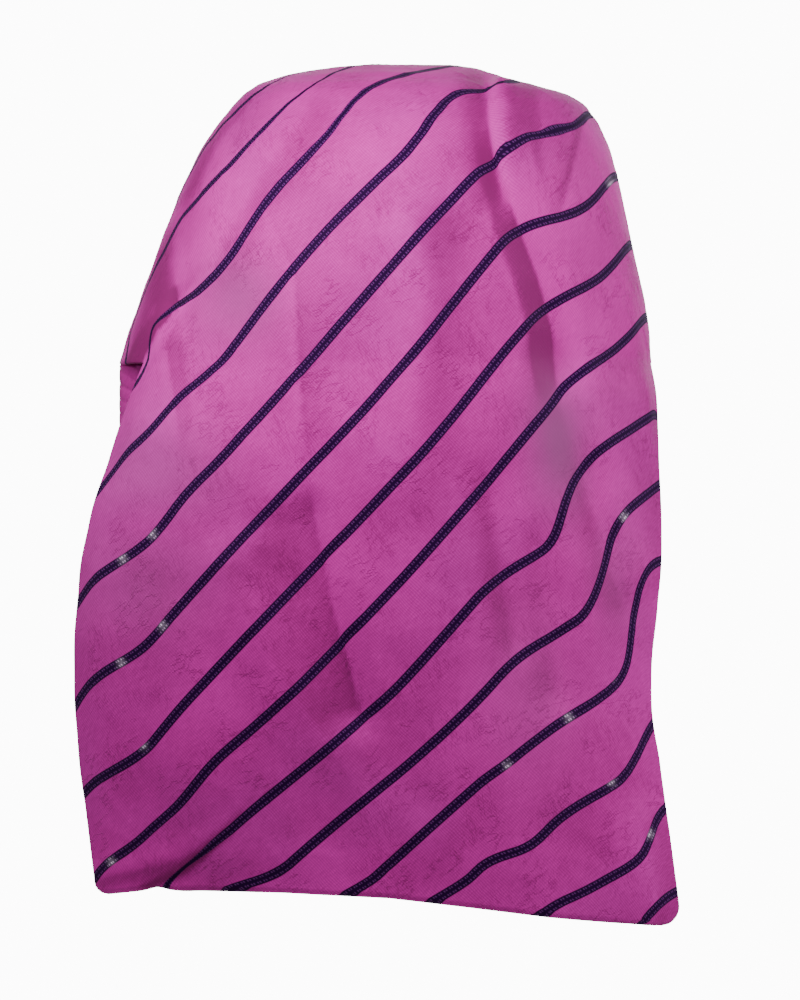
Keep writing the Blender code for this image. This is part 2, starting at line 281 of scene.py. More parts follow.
GLINTS = (
    Glint(-100.0, 185.6),
    Glint(-88.9, 175.9),
    Glint(-85.1, 210.4),
    Glint(-100.5, 224.6),
    Glint(-92.6, 255.0),
    Glint(-104.2, 299.2),
    Glint(83.2, 44.6),
    Glint(87.8, 169.9),
    Glint(66.8, 244.9),
    Glint(82.5, 228.8),
    Glint(44.2, 262.9),
    Glint(82.5, 268.5),
    Glint(97.1, 288.4),
)

NIPS = (
    Nip("top right", 65.0, 24.0, 14.0, 2.9),
    Nip("over the top", -28.0, 9.0, 16.0, 1.3),
    Nip("temple crease", -86.0, 102.0, 10.0, 0.9),
    Nip("hem slit", -76.0, 301.0, 13.0, 1.4),
)

# Greyish shade painted where the folds lie in shade.
SHADE_SPOTS = (
    Faded("beside the valley", 63.0, 142.0, 12.0, 26.0, 0.9),
    Faded("below the valley", 84.0, 192.0, 10.0, 24.0, 0.35),
    Faded("temple", -56.0, 88.0, 16.0, 16.0, 0.55),
    Faded("left of the wedge", -92.0, 196.0, 26.0, 22.0, 0.35),
    Faded("left side", -86.0, 152.0, 24.0, 20.0, 0.4),
    Faded("right of the wedge", 52.0, 234.0, 20.0, 34.0, 0.3),
)


def ease_step(value: Any) -> np.ndarray:
    """0 below 0, 1 above 1, and a smooth rise between."""
    share = np.clip(value, 0.0, 1.0)
    return share * share * (3 - 2 * share)


def smooth_curve(knots: Sequence[float], values: Sequence[float], at: Any) -> np.ndarray:
    """A monotone cubic through known values.

    Args:
        knots: Places that rise from first to last.
        values: The value at each place.
        at: The places to read, one or many.

    Returns:
        The values there, held level beyond both ends.
    """
    knots, values = np.asarray(knots, float), np.asarray(values, float)
    at = np.clip(np.asarray(at, float), knots[0], knots[-1])
    steps = np.diff(knots)
    slopes = np.diff(values) / steps
    tangents = np.empty_like(values)
    tangents[0], tangents[-1] = slopes[0], slopes[-1]
    before, after = slopes[:-1], slopes[1:]
    same_way = before * after > 0
    tangents[1:-1] = np.where(same_way, 2 * before * after / np.where(same_way, before + after, 1.0), 0.0)
    place = np.clip(np.searchsorted(knots, at, side="right") - 1, 0, len(steps) - 1)
    share = (at - knots[place]) / steps[place]
    start = values[place] + share * steps[place] * tangents[place]
    end = values[place + 1] - (1 - share) * steps[place] * tangents[place + 1]
    ease = ease_step(share)
    return start * (1 - ease) + end * ease


def column_of(table: Sequence[NamedTuple], name: str) -> np.ndarray:
    """One column of a table, in metres."""
    return np.array([getattr(row, name) for row in table], float) * MM


def unit(vectors: np.ndarray) -> np.ndarray:
    """Vectors at length one, and none at all where they have next to no length."""
    least = 1e-12
    return vectors / np.maximum(np.linalg.norm(vectors, axis=-1, keepdims=True), least)


def walked(points: np.ndarray, axis: int) -> np.ndarray:
    """The lengths walked along one way of a grid of points, 0 at its first one."""
    steps = np.linalg.norm(np.diff(points, axis=axis), axis=-1)
    return np.concatenate([np.zeros_like(steps.take([0], axis)), np.cumsum(steps, axis)], axis)


def grid_noise(first: np.ndarray, second: np.ndarray, seed: float) -> np.ndarray:
    """Smooth noise at pairs of numbers, in their own layout."""
    pairs = zip(first.ravel().tolist(), second.ravel().tolist())
    return np.array([noise.noise((a, b, seed)) for a, b in pairs]).reshape(first.shape)


def nearness(points: np.ndarray, spot: Any, wide: float, high: float) -> np.ndarray:
    """How near points of the back lie to a spot.

    Args:
        points: The points, in metres.
        spot: What has a place across and a drop, in millimetres.
        wide: Its reach across, in millimetres.
        high: Its reach down, in millimetres.

    Returns:
        1 on the spot and little beyond its reach, and 0 on the front.
    """
    across, down = points[:, 0] / MM - spot.across, -points[:, 2] / MM - spot.drop
    return np.exp(-((across / wide) ** 2) - (down / high) ** 2) * (points[:, 1] < 0)


@dataclass(frozen=True)
class WornForm:
    """The shape that the cloth takes on a head, as functions of a place on the cloth."""

    plan_power: float = 2.3
    split_drop: float = 111.5 * MM
    split_left: float = math.radians(63)
    split_right: float = math.radians(84)
    forehead_drop: float = 66 * MM
    forehead_from: float = math.radians(100)
    flattened: float = 0.80
    flattened_by: float = 0.4
    corner_left: float = 3.0 * MM
    corner_right: float = 6.0 * MM
    fold_fade: float = 16 * MM
    fold_centre_drop: float = 80 * MM
    # lean points towards the light, across and down. The folds' slope along it is painted into the cloth's
    # colour as shade, and lit_share weakens the lit side.
    lean: tuple[float, float] = (-0.95, -0.3)
    probe: float = 1.2 * MM
    lit_share: float = 0.18
    back_from: float = 8 * MM
    back_over: float = 30 * MM

    def crown_run(self) -> np.ndarray:
        """The length of cloth from the top of the crown down to each section."""
        return walked(np.stack([column_of(CROWN, "drop"), column_of(CROWN, "back")], axis=-1), 0)

    def crown_at(self, run: Any, name: str) -> np.ndarray:
        """A column of the crown's table at a length of cloth below the top."""
        return smooth_curve(self.crown_run(), column_of(CROWN, name), run)

    def run_at_drop(self, drop: Any) -> np.ndarray:
        """The length of cloth from the top of the crown down to a drop."""
        return np.interp(drop, column_of(CROWN, "drop"), self.crown_run())

    def plan_part(self, wave: np.ndarray) -> np.ndarray:
        """A superellipse's part for a sine or a cosine."""
        return np.sign(wave) * np.abs(wave) ** (2 / self.plan_power)

    def edge_drop(self, turns: np.ndarray) -> np.ndarray:
        """How low the crown's cloth reaches: level to the temples, then rising to the forehead."""
        to_front = ease_step((np.abs(turns) - self.forehead_from) / (math.pi - self.forehead_from))
        return self.split_drop + (self.forehead_drop - self.split_drop) * to_front

    def crown_points(self, turns: np.ndarray, runs: np.ndarray) -> np.ndarray:
        """Points of the crown before it is folded.

        Args:
            turns: Turns from the back, positive towards the wearer's right.
            runs: Lengths of cloth below the top, of the same shape.

        Returns:
            The points, with X, Y and Z last.
        """
        side = np.where(turns > 0, self.crown_at(runs, "right"), self.crown_at(runs, "left"))
        behind = np.abs(turns) < math.pi / 2
        reach = np.where(behind, self.crown_at(runs, "back"), self.crown_at(runs, "front"))
        across = side * self.plan_part(np.sin(turns))
        forward = -reach * self.plan_part(np.cos(turns))
        return np.stack([across, forward, -self.crown_at(runs, "drop")], axis=-1)

    def fall_table(self) -> tuple[FallSection, ...]:
        """The fall's sections, the first of which is the crown's own line at the split."""
        run = self.run_at_drop(self.split_drop)
        turns = np.array([-self.split_left, self.split_right])
        left, right = self.crown_points(turns, np.full(2, run)) / MM
        back = float(self.crown_at(run, "back")) / MM
        return (FallSection(self.split_drop / MM, -left[0], left[1], right[0], right[1], back), *FALL)

    def bow(self, share: np.ndarray, widest: np.ndarray) -> np.ndarray:
        """How far the plan has bent forward at a share of the way from the middle to an edge."""
        power = self.plan_power
        bent = 1 - (1 - (share * widest) ** power) ** (1 / power)
        return bent / (1 - (1 - widest**power) ** (1 / power))

    def fall_points(self, turns: np.ndarray, shares: np.ndarray) -> np.ndarray:
        """Points of the fall before it is folded.

        Args:
            turns: Turns from the back, as on the crown.
            shares: Shares of the way from the split, 0, to the hem, 1, of the same shape.

        Returns:
            The points, with X, Y and Z last.
        """
        table = self.fall_table()
        drops = column_of(table, "drop")
        level = self.split_drop + shares * (drops[-1] - self.split_drop)
        back = smooth_curve(drops, column_of(table, "back"), level)
        points = np.zeros((*turns.shape, 3))
        for side, split, radius in (
            ("left", self.split_left, self.corner_left),
            ("right", self.split_right, self.corner_right),
        ):
            here = turns > 0 if side == "right" else turns <= 0
            edge = smooth_curve(drops, column_of(table, side), level)
            edge_y = smooth_curve(drops, column_of(table, side + "_y"), level)
            rounded = np.clip((level - drops[-1] + radius) / radius, 0, 1)
            corner = edge - radius * (1 - np.sqrt(1 - rounded**2))
            along = self.plan_part(np.abs(np.sin(turns))) / self.plan_part(np.sin(split))
            across = np.sign(turns) * along * corner
            widest = self.plan_part(np.sin(split))
            eased = ease_step(shares / self.flattened_by) * (side == "right")
            widest = widest - (widest - self.flattened) * eased
            bent = self.bow(np.minimum(1.0, along * corner / edge), widest)
            hem = np.interp(across, column_of(HEM, "across"), column_of(HEM, "drop"))
            drop = self.split_drop + shares * (hem - self.split_drop)
            whole = np.stack([across, -back + (edge_y + back) * bent, -drop], axis=-1)
            points[here] = whole[here]
        return points

    def fold_depth(self, across: np.ndarray, drop: np.ndarray) -> np.ndarray:
        """How far all the folds sink the cloth in at places seen from behind.

        Args:
            across: Places across the back.
            drop: Their drops.

        Returns:
            The depths, in metres.
        """
        here = np.stack([across.ravel(), drop.ravel()], axis=1)
        depth = np.zeros(len(here))
        for fold in FOLDS:
            line = np.array(fold.line, float) * MM
            starts, legs = line[:-1], np.diff(line, axis=0)
            lengths = np.hypot(legs[:, 0], legs[:, 1])
            reach = ((here[:, None] - starts) * legs).sum(2) / lengths**2
            shares = np.clip(reach, 0, 1)
            aside = here[:, None] - (starts + shares[..., None] * legs)
            nearest = (aside**2).sum(2).argmin(1)
            rows = np.arange(len(here))
            gone = reach[rows, nearest]
            past = np.where(nearest == 0, np.maximum(0.0, -gone), 0.0)
            past = np.maximum(past, np.where(nearest == len(legs) - 1, gone - 1, 0.0)) * lengths[nearest]
            aside, leg = aside[rows, nearest], legs[nearest]
            sign = leg[:, 1] * aside[:, 0] - leg[:, 0] * aside[:, 1]
            width = np.where(sign > 0, fold.right_width, fold.left_width) * MM
            away = np.sqrt(np.maximum(0.0, (aside**2).sum(1) - past**2)) / width
            before = walked(line, 0)
            along = (before[nearest] + shares[rows, nearest] * lengths[nearest]) / before[-1]
            deep = fold.upper_depth + (fold.lower_depth - fold.upper_depth) * along
            depth += deep * MM * (1 - ease_step(past / self.fold_fade)) * fold.shape.fall_off(away)
        return depth.reshape(across.shape)

    def at_back(self, points: np.ndarray) -> np.ndarray:
        """1 at points of the back and 0 on the front, with a smooth change over the top."""
        return ease_step((-points[..., 1] - self.back_from) / self.back_over)

    def fold_slope(self, points: np.ndarray) -> np.ndarray:
        """How far the folds turn the cloth up and to the wearer's left, as a slope. It is painted shade for
        the cloth's colour: darker where the folds turn away from the light, and a little lighter where they
        turn to it.
        """
        across, drop = points[..., 0], -points[..., 2]
        aside, above = -self.lean[0] * self.probe, -self.lean[1] * self.probe
        rise = self.fold_depth(across - aside, drop - above) - self.fold_depth(across + aside, drop + above)
        fold_shade = rise / (2 * self.probe) * self.at_back(points)
        return np.where(fold_shade > 0, fold_shade * self.lit_share, fold_shade)

    def folded(self, points: np.ndarray) -> np.ndarray:
        """Points of the back moved by the folds: down on top, forward further down."""
        forward, up = points[..., 1], points[..., 2]
        downwards = np.minimum(0.0, -self.fold_centre_drop - up)
        inwards = unit(np.stack([np.zeros_like(up), -forward, downwards], axis=-1))
        depth = self.fold_depth(points[..., 0], -up) * self.at_back(points)
        return points + inwards * depth[..., None]


@dataclass(frozen=True)
class StripeLayout:
    """Where the woven stripes run: their spacing, their rise and the places pulled askew."""

    pitch: float = 26.6 * MM
    rise: float = math.radians(46.8)
    start: float = -0.885
    repeat: float = 2.2 * MM
    width: float = 3.8 * MM
    fade: float = 26.0
    pulled_to: float = 60 * MM
    pulled_over: float = 50 * MM
    pitch_limits: tuple[float, float] = (8.0, 60.0)
    pulls: tuple[Pull, ...] = PULLS

    def phase(self, weave: np.ndarray, points: np.ndarray) -> np.ndarray:
        """The stripes' count at places on the cloth, whole on the middle of each stripe.

        Args:
            weave: The cloth's own coordinates, across and down.
            points: The same places in space.

        Returns:
            The count, which rises downwards and to the wearer's right.
        """
        raised = np.zeros(weave.shape[:-1])
        for pull in self.pulls:
            heading = math.radians(pull.heading)
            across, down = points[..., 0] / MM - pull.across, -points[..., 2] / MM - pull.drop
            past = across * math.cos(heading) + down * math.sin(heading)
            aside = np.abs(down * math.cos(heading) - across * math.sin(heading))
            near = 1 - ease_step((aside - pull.half_width) / self.fade)
            raised += pull.rise * MM * ease_step(past / pull.reach) * near
        raised *= ease_step((self.pulled_to - points[..., 1]) / self.pulled_over)
        lean = math.cos(self.rise) * weave[..., 1] + math.sin(self.rise) * weave[..., 0]
        return (lean + raised) / self.pitch + self.start

    def along(self, weave: np.ndarray) -> np.ndarray:
        """How many repeats of the woven ladder lie behind a place, along the stripes."""
        return (math.cos(self.rise) * weave[..., 0] - math.sin(self.rise) * weave[..., 1]) / self.repeat

    def maps(self, weave: np.ndarray, points: np.ndarray, shift: float = 0.0) -> dict[str, np.ndarray]:
        """The two UV maps of a striped piece.

        Args:
            weave: Each point's place in the cloth.
            points: The same points in space.
            shift: How much is added to the count.

        Returns:
            The maps by name, in counts of stripes and repeats, and in millimetres of cloth.
        """
        counts = np.stack([self.phase(weave, points) + shift, self.along(weave)], axis=1)
        return {"stripes": counts, "cloth": weave / MM}


@dataclass(frozen=True)
class ClothGrid:
    """The cloth's outer face as a grid: rings round the crown, then rows of the fall."""

    form: WornForm
    crown_rows: int = 80
    fall_rows: int = 112
    back_columns: int = 170
    front_columns: int = 110
    rows_to_hem: float = 1.25
    true_until: float = math.radians(60)
    gathered_from: float = math.radians(160)
    settle: float = 45 * MM

    @property
    def back_count(self) -> int:
        """How many columns hang down into the fall."""
        return self.back_columns + 1

    @property
    def ring_count(self) -> int:
        """How many columns go round the crown."""
        return self.back_count + self.front_columns

    def turns(self) -> np.ndarray:
        """The columns' turns: the back ones from left to right, then on round the front."""
        left, right = self.form.split_left, self.form.split_right
        half = self.back_columns // 2
        share = np.linspace(0, 1, half + 1)
        back = np.concatenate([-left * share[::-1], right * share[1:]])
        front = np.linspace(right, 2 * math.pi - left, self.front_columns + 2)[1:-1]
        return np.concatenate([back, np.where(front > math.pi, front - 2 * math.pi, front)])

    def crown(self) -> np.ndarray:
        """The crown's points before they are folded, by ring and column."""
        turns = self.turns()
        shares = np.arange(1, self.crown_rows + 1) / self.crown_rows
        runs = shares[:, None] * self.form.run_at_drop(self.form.edge_drop(turns))
        return self.form.crown_points(np.broadcast_to(turns, runs.shape), runs)

    def fall(self) -> np.ndarray:
        """The fall's points before they are folded, by row and column."""
        turns = self.turns()[: self.back_count]
        shares = 1 - (1 - np.arange(1, self.fall_rows + 1) / self.fall_rows) ** self.rows_to_hem
        shape = (self.fall_rows, self.back_count)
        return self.form.fall_points(np.broadcast_to(turns, shape), np.broadcast_to(shares[:, None], shape))

    def weave(self, crown: np.ndarray, fall: np.ndarray) -> tuple[np.ndarray, np.ndarray]:
        """The cloth's own coordinates, measured along it.

        Behind, they are the lengths of cloth across from the middle and down from the top.
        Towards the brow the cloth is gathered, and they turn into a disc's.

        Args:
            crown: The crown's points, by ring and column.
            fall: The fall's points, by row and column.

        Returns:
            The coordinates of the crown's points and of the fall's, with across and down last.
        """
        turns, middle = self.turns(), [self.back_columns // 2]
        ring = np.argsort(turns)
        across = np.empty(crown.shape[:2])
        across[:, ring] = walked(crown[:, ring], 1)
        across -= across[:, middle]
        down = walked(np.concatenate([np.zeros((1, *crown.shape[1:])), crown]), 0)[1:]
        true = 1 - ease_step((np.abs(turns) - self.true_until) / (self.gathered_from - self.true_until))
        of_crown = self.blended(across, down, turns, np.broadcast_to(true, across.shape))

        # Down the fall, only the part of a step that is square to its row counts.
        back = turns[: self.back_count]
        across = walked(fall, 1)
        across -= across[:, middle]
        columns = np.concatenate([crown[-1:, : self.back_count], fall])
        steps, rows = np.diff(columns, axis=0), unit(np.gradient(fall, axis=1))
        steps -= rows * (steps * rows).sum(-1)[..., None]
        below = np.cumsum(np.linalg.norm(steps, axis=2), axis=0)
        true = 1 - (1 - true[: self.back_count]) * (1 - ease_step(below / self.settle))
        of_fall = self.blended(across, down[-1, : self.back_count] + below, back, true)
        return of_crown, of_fall

    def blended(
        self, across: np.ndarray, down: np.ndarray, turns: np.ndarray, true: np.ndarray
    ) -> np.ndarray:
        """Coordinates between true lengths, where true is 1, and a disc's, where it is 0."""
        first = true * across + (1 - true) * down * np.sin(turns)
        second = true * down + (1 - true) * down * np.cos(turns)
        return np.stack([first, second], axis=-1)

    def all_points(self) -> tuple[np.ndarray, np.ndarray]:
        """All points in order, the crown's top first, and their weave coordinates."""
        crown, fall = self.crown(), self.fall()
        of_crown, of_fall = self.weave(crown, fall)
        points = np.concatenate([np.zeros((1, 3)), crown.reshape(-1, 3), fall.reshape(-1, 3)])
        weave = np.concatenate([np.zeros((1, 2)), of_crown.reshape(-1, 2), of_fall.reshape(-1, 2)])
        return self.form.folded(points), weave

    def spacings(self, count: np.ndarray, points: np.ndarray) -> np.ndarray:
        """How far apart whole counts lie, for a count at all the points in order."""
        crown, fall = self.numbers()
        round_crown = np.concatenate([crown[:, -2:], crown, crown[:, :2]], axis=1)
        result = np.empty(len(points))
        result[fall] = spacing(count[fall], points[fall])
        result[crown] = spacing(count[round_crown], points[round_crown])[:, 2:-2]
        result[0] = result[crown[0]].mean()
        return result

    def numbers(self) -> tuple[np.ndarray, np.ndarray]:
        """The point numbers of the crown's rings, and of the fall's rows below its first ring."""
        crown = 1 + np.arange(self.crown_rows * self.ring_count).reshape(self.crown_rows, self.ring_count)
        fall = crown[-1, -1] + 1 + np.arange(self.fall_rows * self.back_count)
        fall = fall.reshape(self.fall_rows, self.back_count)
        return crown, np.concatenate([crown[-1:, : self.back_count], fall])

    def faces(self) -> list[tuple[int, ...]]:
        """The faces, each one running round so that it faces out."""
        crown, fall = self.numbers()
        closed = np.concatenate([crown, crown[:, :1]], axis=1)
        top = [(0, int(a), int(b)) for a, b in zip(closed[0], closed[0, 1:])]
        return top + quads(closed) + quads(fall)

    def border(self) -> np.ndarray:
        """The point numbers along the cloth's edge: down the left, along the hem, up the right
        and round the front."""
        crown, fall = self.numbers()
        left, hem = fall[:, 0], fall[-1, 1:]
        right, front = fall[-2::-1, -1], crown[-1, self.back_count :]
        return np.concatenate([left, hem, right, front])


def spacing(count: np.ndarray, points: np.ndarray) -> np.ndarray:
    """How far apart whole counts lie on a surface.

    Args:
        count: A count at each point of a grid.
        points: The grid's points.

    Returns:
        The distance from one whole count to the next, at each point.
    """
    least_area, least_steep = 1e-18, 1.0
    along_rows, along_columns = np.gradient(points, axis=1), np.gradient(points, axis=0)
    by_row, by_column = np.gradient(count, axis=1), np.gradient(count, axis=0)
    row_square = (along_rows**2).sum(-1)
    column_square = (along_columns**2).sum(-1)
    both = (along_rows * along_columns).sum(-1)
    steep = column_square * by_row**2 - 2 * both * by_row * by_column + row_square * by_column**2
    area = np.maximum(row_square * column_square - both**2, least_area)
    return 1 / np.sqrt(np.maximum(steep / area, least_steep))


def quads(numbers: np.ndarray) -> list[tuple[int, ...]]:
    """The four-sided faces between the rows of a grid of point numbers."""
    corners = (numbers[:-1, :-1], numbers[1:, :-1], numbers[1:, 1:], numbers[:-1, 1:])
    return [tuple(face) for face in np.stack(corners, axis=-1).reshape(-1, 4).tolist()]


def vertex_normals(points: np.ndarray, faces: Sequence[tuple[int, ...]]) -> np.ndarray:
    """The smooth normals of a surface at its points."""
    measure = bpy.data.meshes.new("measure")
    measure.from_pydata(points.tolist(), [], faces)
    measure.update()
    normals = np.empty(points.size, np.float32)
    measure.vertex_normals.foreach_get("vector", normals)
    bpy.data.meshes.remove(measure)
    return normals.reshape(-1, 3).astype(float)


def nearest_of(points: np.ndarray, targets: np.ndarray) -> tuple[np.ndarray, np.ndarray]:
    """The number of the target nearest to each point, and how far away it is."""
    tree = kdtree.KDTree(len(targets))
    for number, target in enumerate(targets):
        tree.insert(target, number)
    tree.balance()
    numbers, away = np.array([tree.find(point)[1:] for point in points]).T
    return numbers.astype(int), away


def smoothed_loop(vectors: np.ndarray, times: int) -> np.ndarray:
    """Unit vectors round a closed loop, each evened out with its neighbours several times."""
    for _ in range(times):
        vectors = unit(np.roll(vectors, 1, axis=0) + 2 * vectors + np.roll(vectors, -1, axis=0))
    return vectors


class ClosedSheet(NamedTuple):
    """A sheet with its wall: its points, its faces, the outer point that each came from, and
    how far each lies past the outer face's border, round the edge."""

    points: np.ndarray
    faces: list[tuple[int, ...]]
    source: np.ndarray
    past: np.ndarray

    def continued(self, places: np.ndarray, border: np.ndarray) -> np.ndarray:
        """Places in the cloth for all the points, running on round the edge.

        Args:
            places: A place for each outer point.
            border: The numbers of the points round its edge, with the cloth to their left.

        Returns:
            A place for each point.
        """
        along = unit(np.roll(places[border], -1, axis=0) - np.roll(places[border], 1, axis=0))
        outwards = np.zeros_like(places)
        outwards[border] = np.stack([-along[:, 1], along[:, 0]], axis=-1)
        return places[self.source] + outwards[self.source] * self.past[:, None]


@dataclass(frozen=True)
class ClothWall:
    """Gives an open surface its wall, with a soft rolled edge all round."""

    wall: float = 1.3 * MM
    spread: float = 6 * MM
    rim_steps: int = 5
    along_evened: int = 1
    upright_evened: int = 3

    def close(
        self, points: np.ndarray, faces: list[tuple[int, ...]], border: np.ndarray, radii: np.ndarray
    ) -> ClosedSheet:
        """Adds the inner face and the edge.

        Args:
            points: The outer face's points.
            faces: Its faces.
            border: The numbers of the points round its edge, with the cloth to their left.
            radii: How round the edge is at each of them.

        Returns:
            The closed sheet.
        """
        normals, edge = vertex_normals(points, faces), points[border]
        nearest, away = nearest_of(points, edge)
        roll = 2 * radii[nearest] - self.wall
        thick = self.wall + roll * np.exp(-((away / self.spread) ** 2))
        along = unit(np.roll(edge, -1, axis=0) - np.roll(edge, 1, axis=0))
        along = smoothed_loop(along, self.along_evened)
        upright = smoothed_loop(normals[border], self.upright_evened)
        outwards = unit(np.cross(along, upright))
        normals[border] = upright
        inner = points - normals * thick[:, None]
        strips = [border]
        rims, past = [], [np.zeros(2 * len(points))]
        count = 2 * len(points)
        for step in range(1, self.rim_steps):
            angle = math.pi * step / self.rim_steps
            turned = math.cos(angle) * upright + math.sin(angle) * outwards
            rims.append(edge + (turned - upright) * radii[:, None])
            past.append(radii * min(angle, math.pi - angle))
            strips.append(count + np.arange(len(border)))
            count += len(border)
        strips.append(border + len(points))
        edge_faces = quads(np.stack([np.append(strip, strip[0]) for strip in strips]))
        inside = [tuple(number + len(points) for number in reversed(face)) for face in faces]
        source = np.concatenate([np.arange(len(points))] * 2 + [border] * len(rims))
        all_points = np.concatenate([points, inner, *rims])
        return ClosedSheet(all_points, faces + inside + edge_faces, source, np.concatenate(past))


def grid_faces(points: np.ndarray) -> tuple[list[tuple[int, ...]], np.ndarray]:
    """The faces of a grid of points, and the point numbers round it: down its first column,
    along, up its last and back."""
    numbers = np.arange(points.shape[0] * points.shape[1]).reshape(points.shape[:2])
    sides = numbers[:, 0], numbers[-1, 1:], numbers[-2::-1, -1], numbers[0, -2:0:-1]
    return quads(numbers), np.concatenate(sides)


class Ripple(NamedTuple):
    """A kind of unevenness in the cloth: its height, its length each way in the cloth, how far
    its waves are turned in degrees, and whether it shows as sharp creases."""

    name: str
    height: float
    across: float
    down: float
    turned: float
    creased: bool


RIPPLES = (
    Ripple("slow swell", 0.9, 70.0, 90.0, 0.0, False),
    Ripple("hanging wave", 0.55, 22.0, 110.0, -8.0, False),
    Ripple("long crease", 0.25, 40.0, 14.0, 38.0, True),
    Ripple("short crease", 0.10, 11.0, 22.0, 24.0, True),
    Ripple("rumple", 0.06, 8.0, 8.0, 0.0, False),
)


@dataclass(frozen=True)
class Rumple:
    """The small unevenness of worn cloth."""

    ripples: tuple[Ripple, ...] = RIPPLES
    patch: float = 55.0
    seed: float = 3.7
    lift: float = 0.9 * MM
    patch_level: float = 0.55
    patch_contrast: float = 1.6
    crease_rate: float = 9.0
    crease_level: float = 0.3
    gain: float = 1.6

    def heights(self, weave: np.ndarray) -> np.ndarray:
        """How far the cloth stands proud at places given in its own coordinates."""
        places = weave / MM
        total = np.full(len(places), self.lift)
        patchy = self.layer(places, self.patch, self.patch, 0.0, self.seed)
        patchy = ease_step(self.patch_level + self.patch_contrast * patchy)
        for number, ripple in enumerate(self.ripples, start=1):
            wave = self.layer(places, ripple.across, ripple.down, ripple.turned, self.seed * number)
            if ripple.creased:
                wave = patchy * (np.exp(-np.abs(wave) * self.crease_rate) - self.crease_level)
            total += ripple.height * MM * wave
        return total

    def layer(
        self, places: np.ndarray, across: float, down: float, turned: float, seed: float
    ) -> np.ndarray:
        """Smooth noise along the cloth, about -1 to 1.

        Args:
            places: Places in the cloth, in millimetres.
            across: The length of a wave across, in millimetres.
            down: The length of a wave down, in millimetres.
            turned: How far the waves are turned, in degrees.
            seed: What tells this noise from another.

        Returns:
            The noise at each place.
        """
        angle = math.radians(turned)
        first = (math.cos(angle) * places[:, 0] + math.sin(angle) * places[:, 1]) / across
        second = (math.cos(angle) * places[:, 1] - math.sin(angle) * places[:, 0]) / down
        return grid_noise(first, second, seed) * self.gain


def cloth_object(
    name: str,
    sheet: ClosedSheet,
    maps: dict[str, np.ndarray],
    values: dict[str, np.ndarray],
    material: bpy.types.Material,
) -> bpy.types.Object:
    """Makes a closed sheet an object.

    Args:
        name: The piece's name.
        sheet: Its points and faces.
        maps: UV maps by name, with a row for each point.
        values: Numbers by name that the material reads, one for each outer point.
        material: Its finish.

    Returns:
        The object, at the origin.
    """
    data = bpy.data.meshes.new(name)
    data.from_pydata(sheet.points.tolist(), [], sheet.faces)
    data.update()
    data.shade_smooth()
    corners = np.empty(len(data.loops), np.int32)
    data.loops.foreach_get("vertex_index", corners)
    for label, places in maps.items():
        layer = data.uv_layers.new(name=label)
        layer.data.foreach_set("uv", places[corners].astype(np.float32).ravel())
    for label, numbers in values.items():
        layer = data.attributes.new(label, "FLOAT", "POINT")
        layer.data.foreach_set("value", numbers[sheet.source].astype(np.float32))
    data.materials.append(material)
    piece = bpy.data.objects.new(name, data)
    bpy.context.scene.collection.objects.link(piece)
    return piece


def area_of(points: np.ndarray, faces: Sequence[tuple[int, ...]]) -> float:
    """The area of a surface's faces."""
    corners = np.array([(face[0], face[1], face[2], face[-1]) for face in faces])
    first, second, third, last = (points[corners[:, place]] for place in range(4))
    halves = np.cross(second - first, third - first), np.cross(third - first, last - first)
    return float(sum(np.linalg.norm(half, axis=1).sum() for half in halves) / 2)


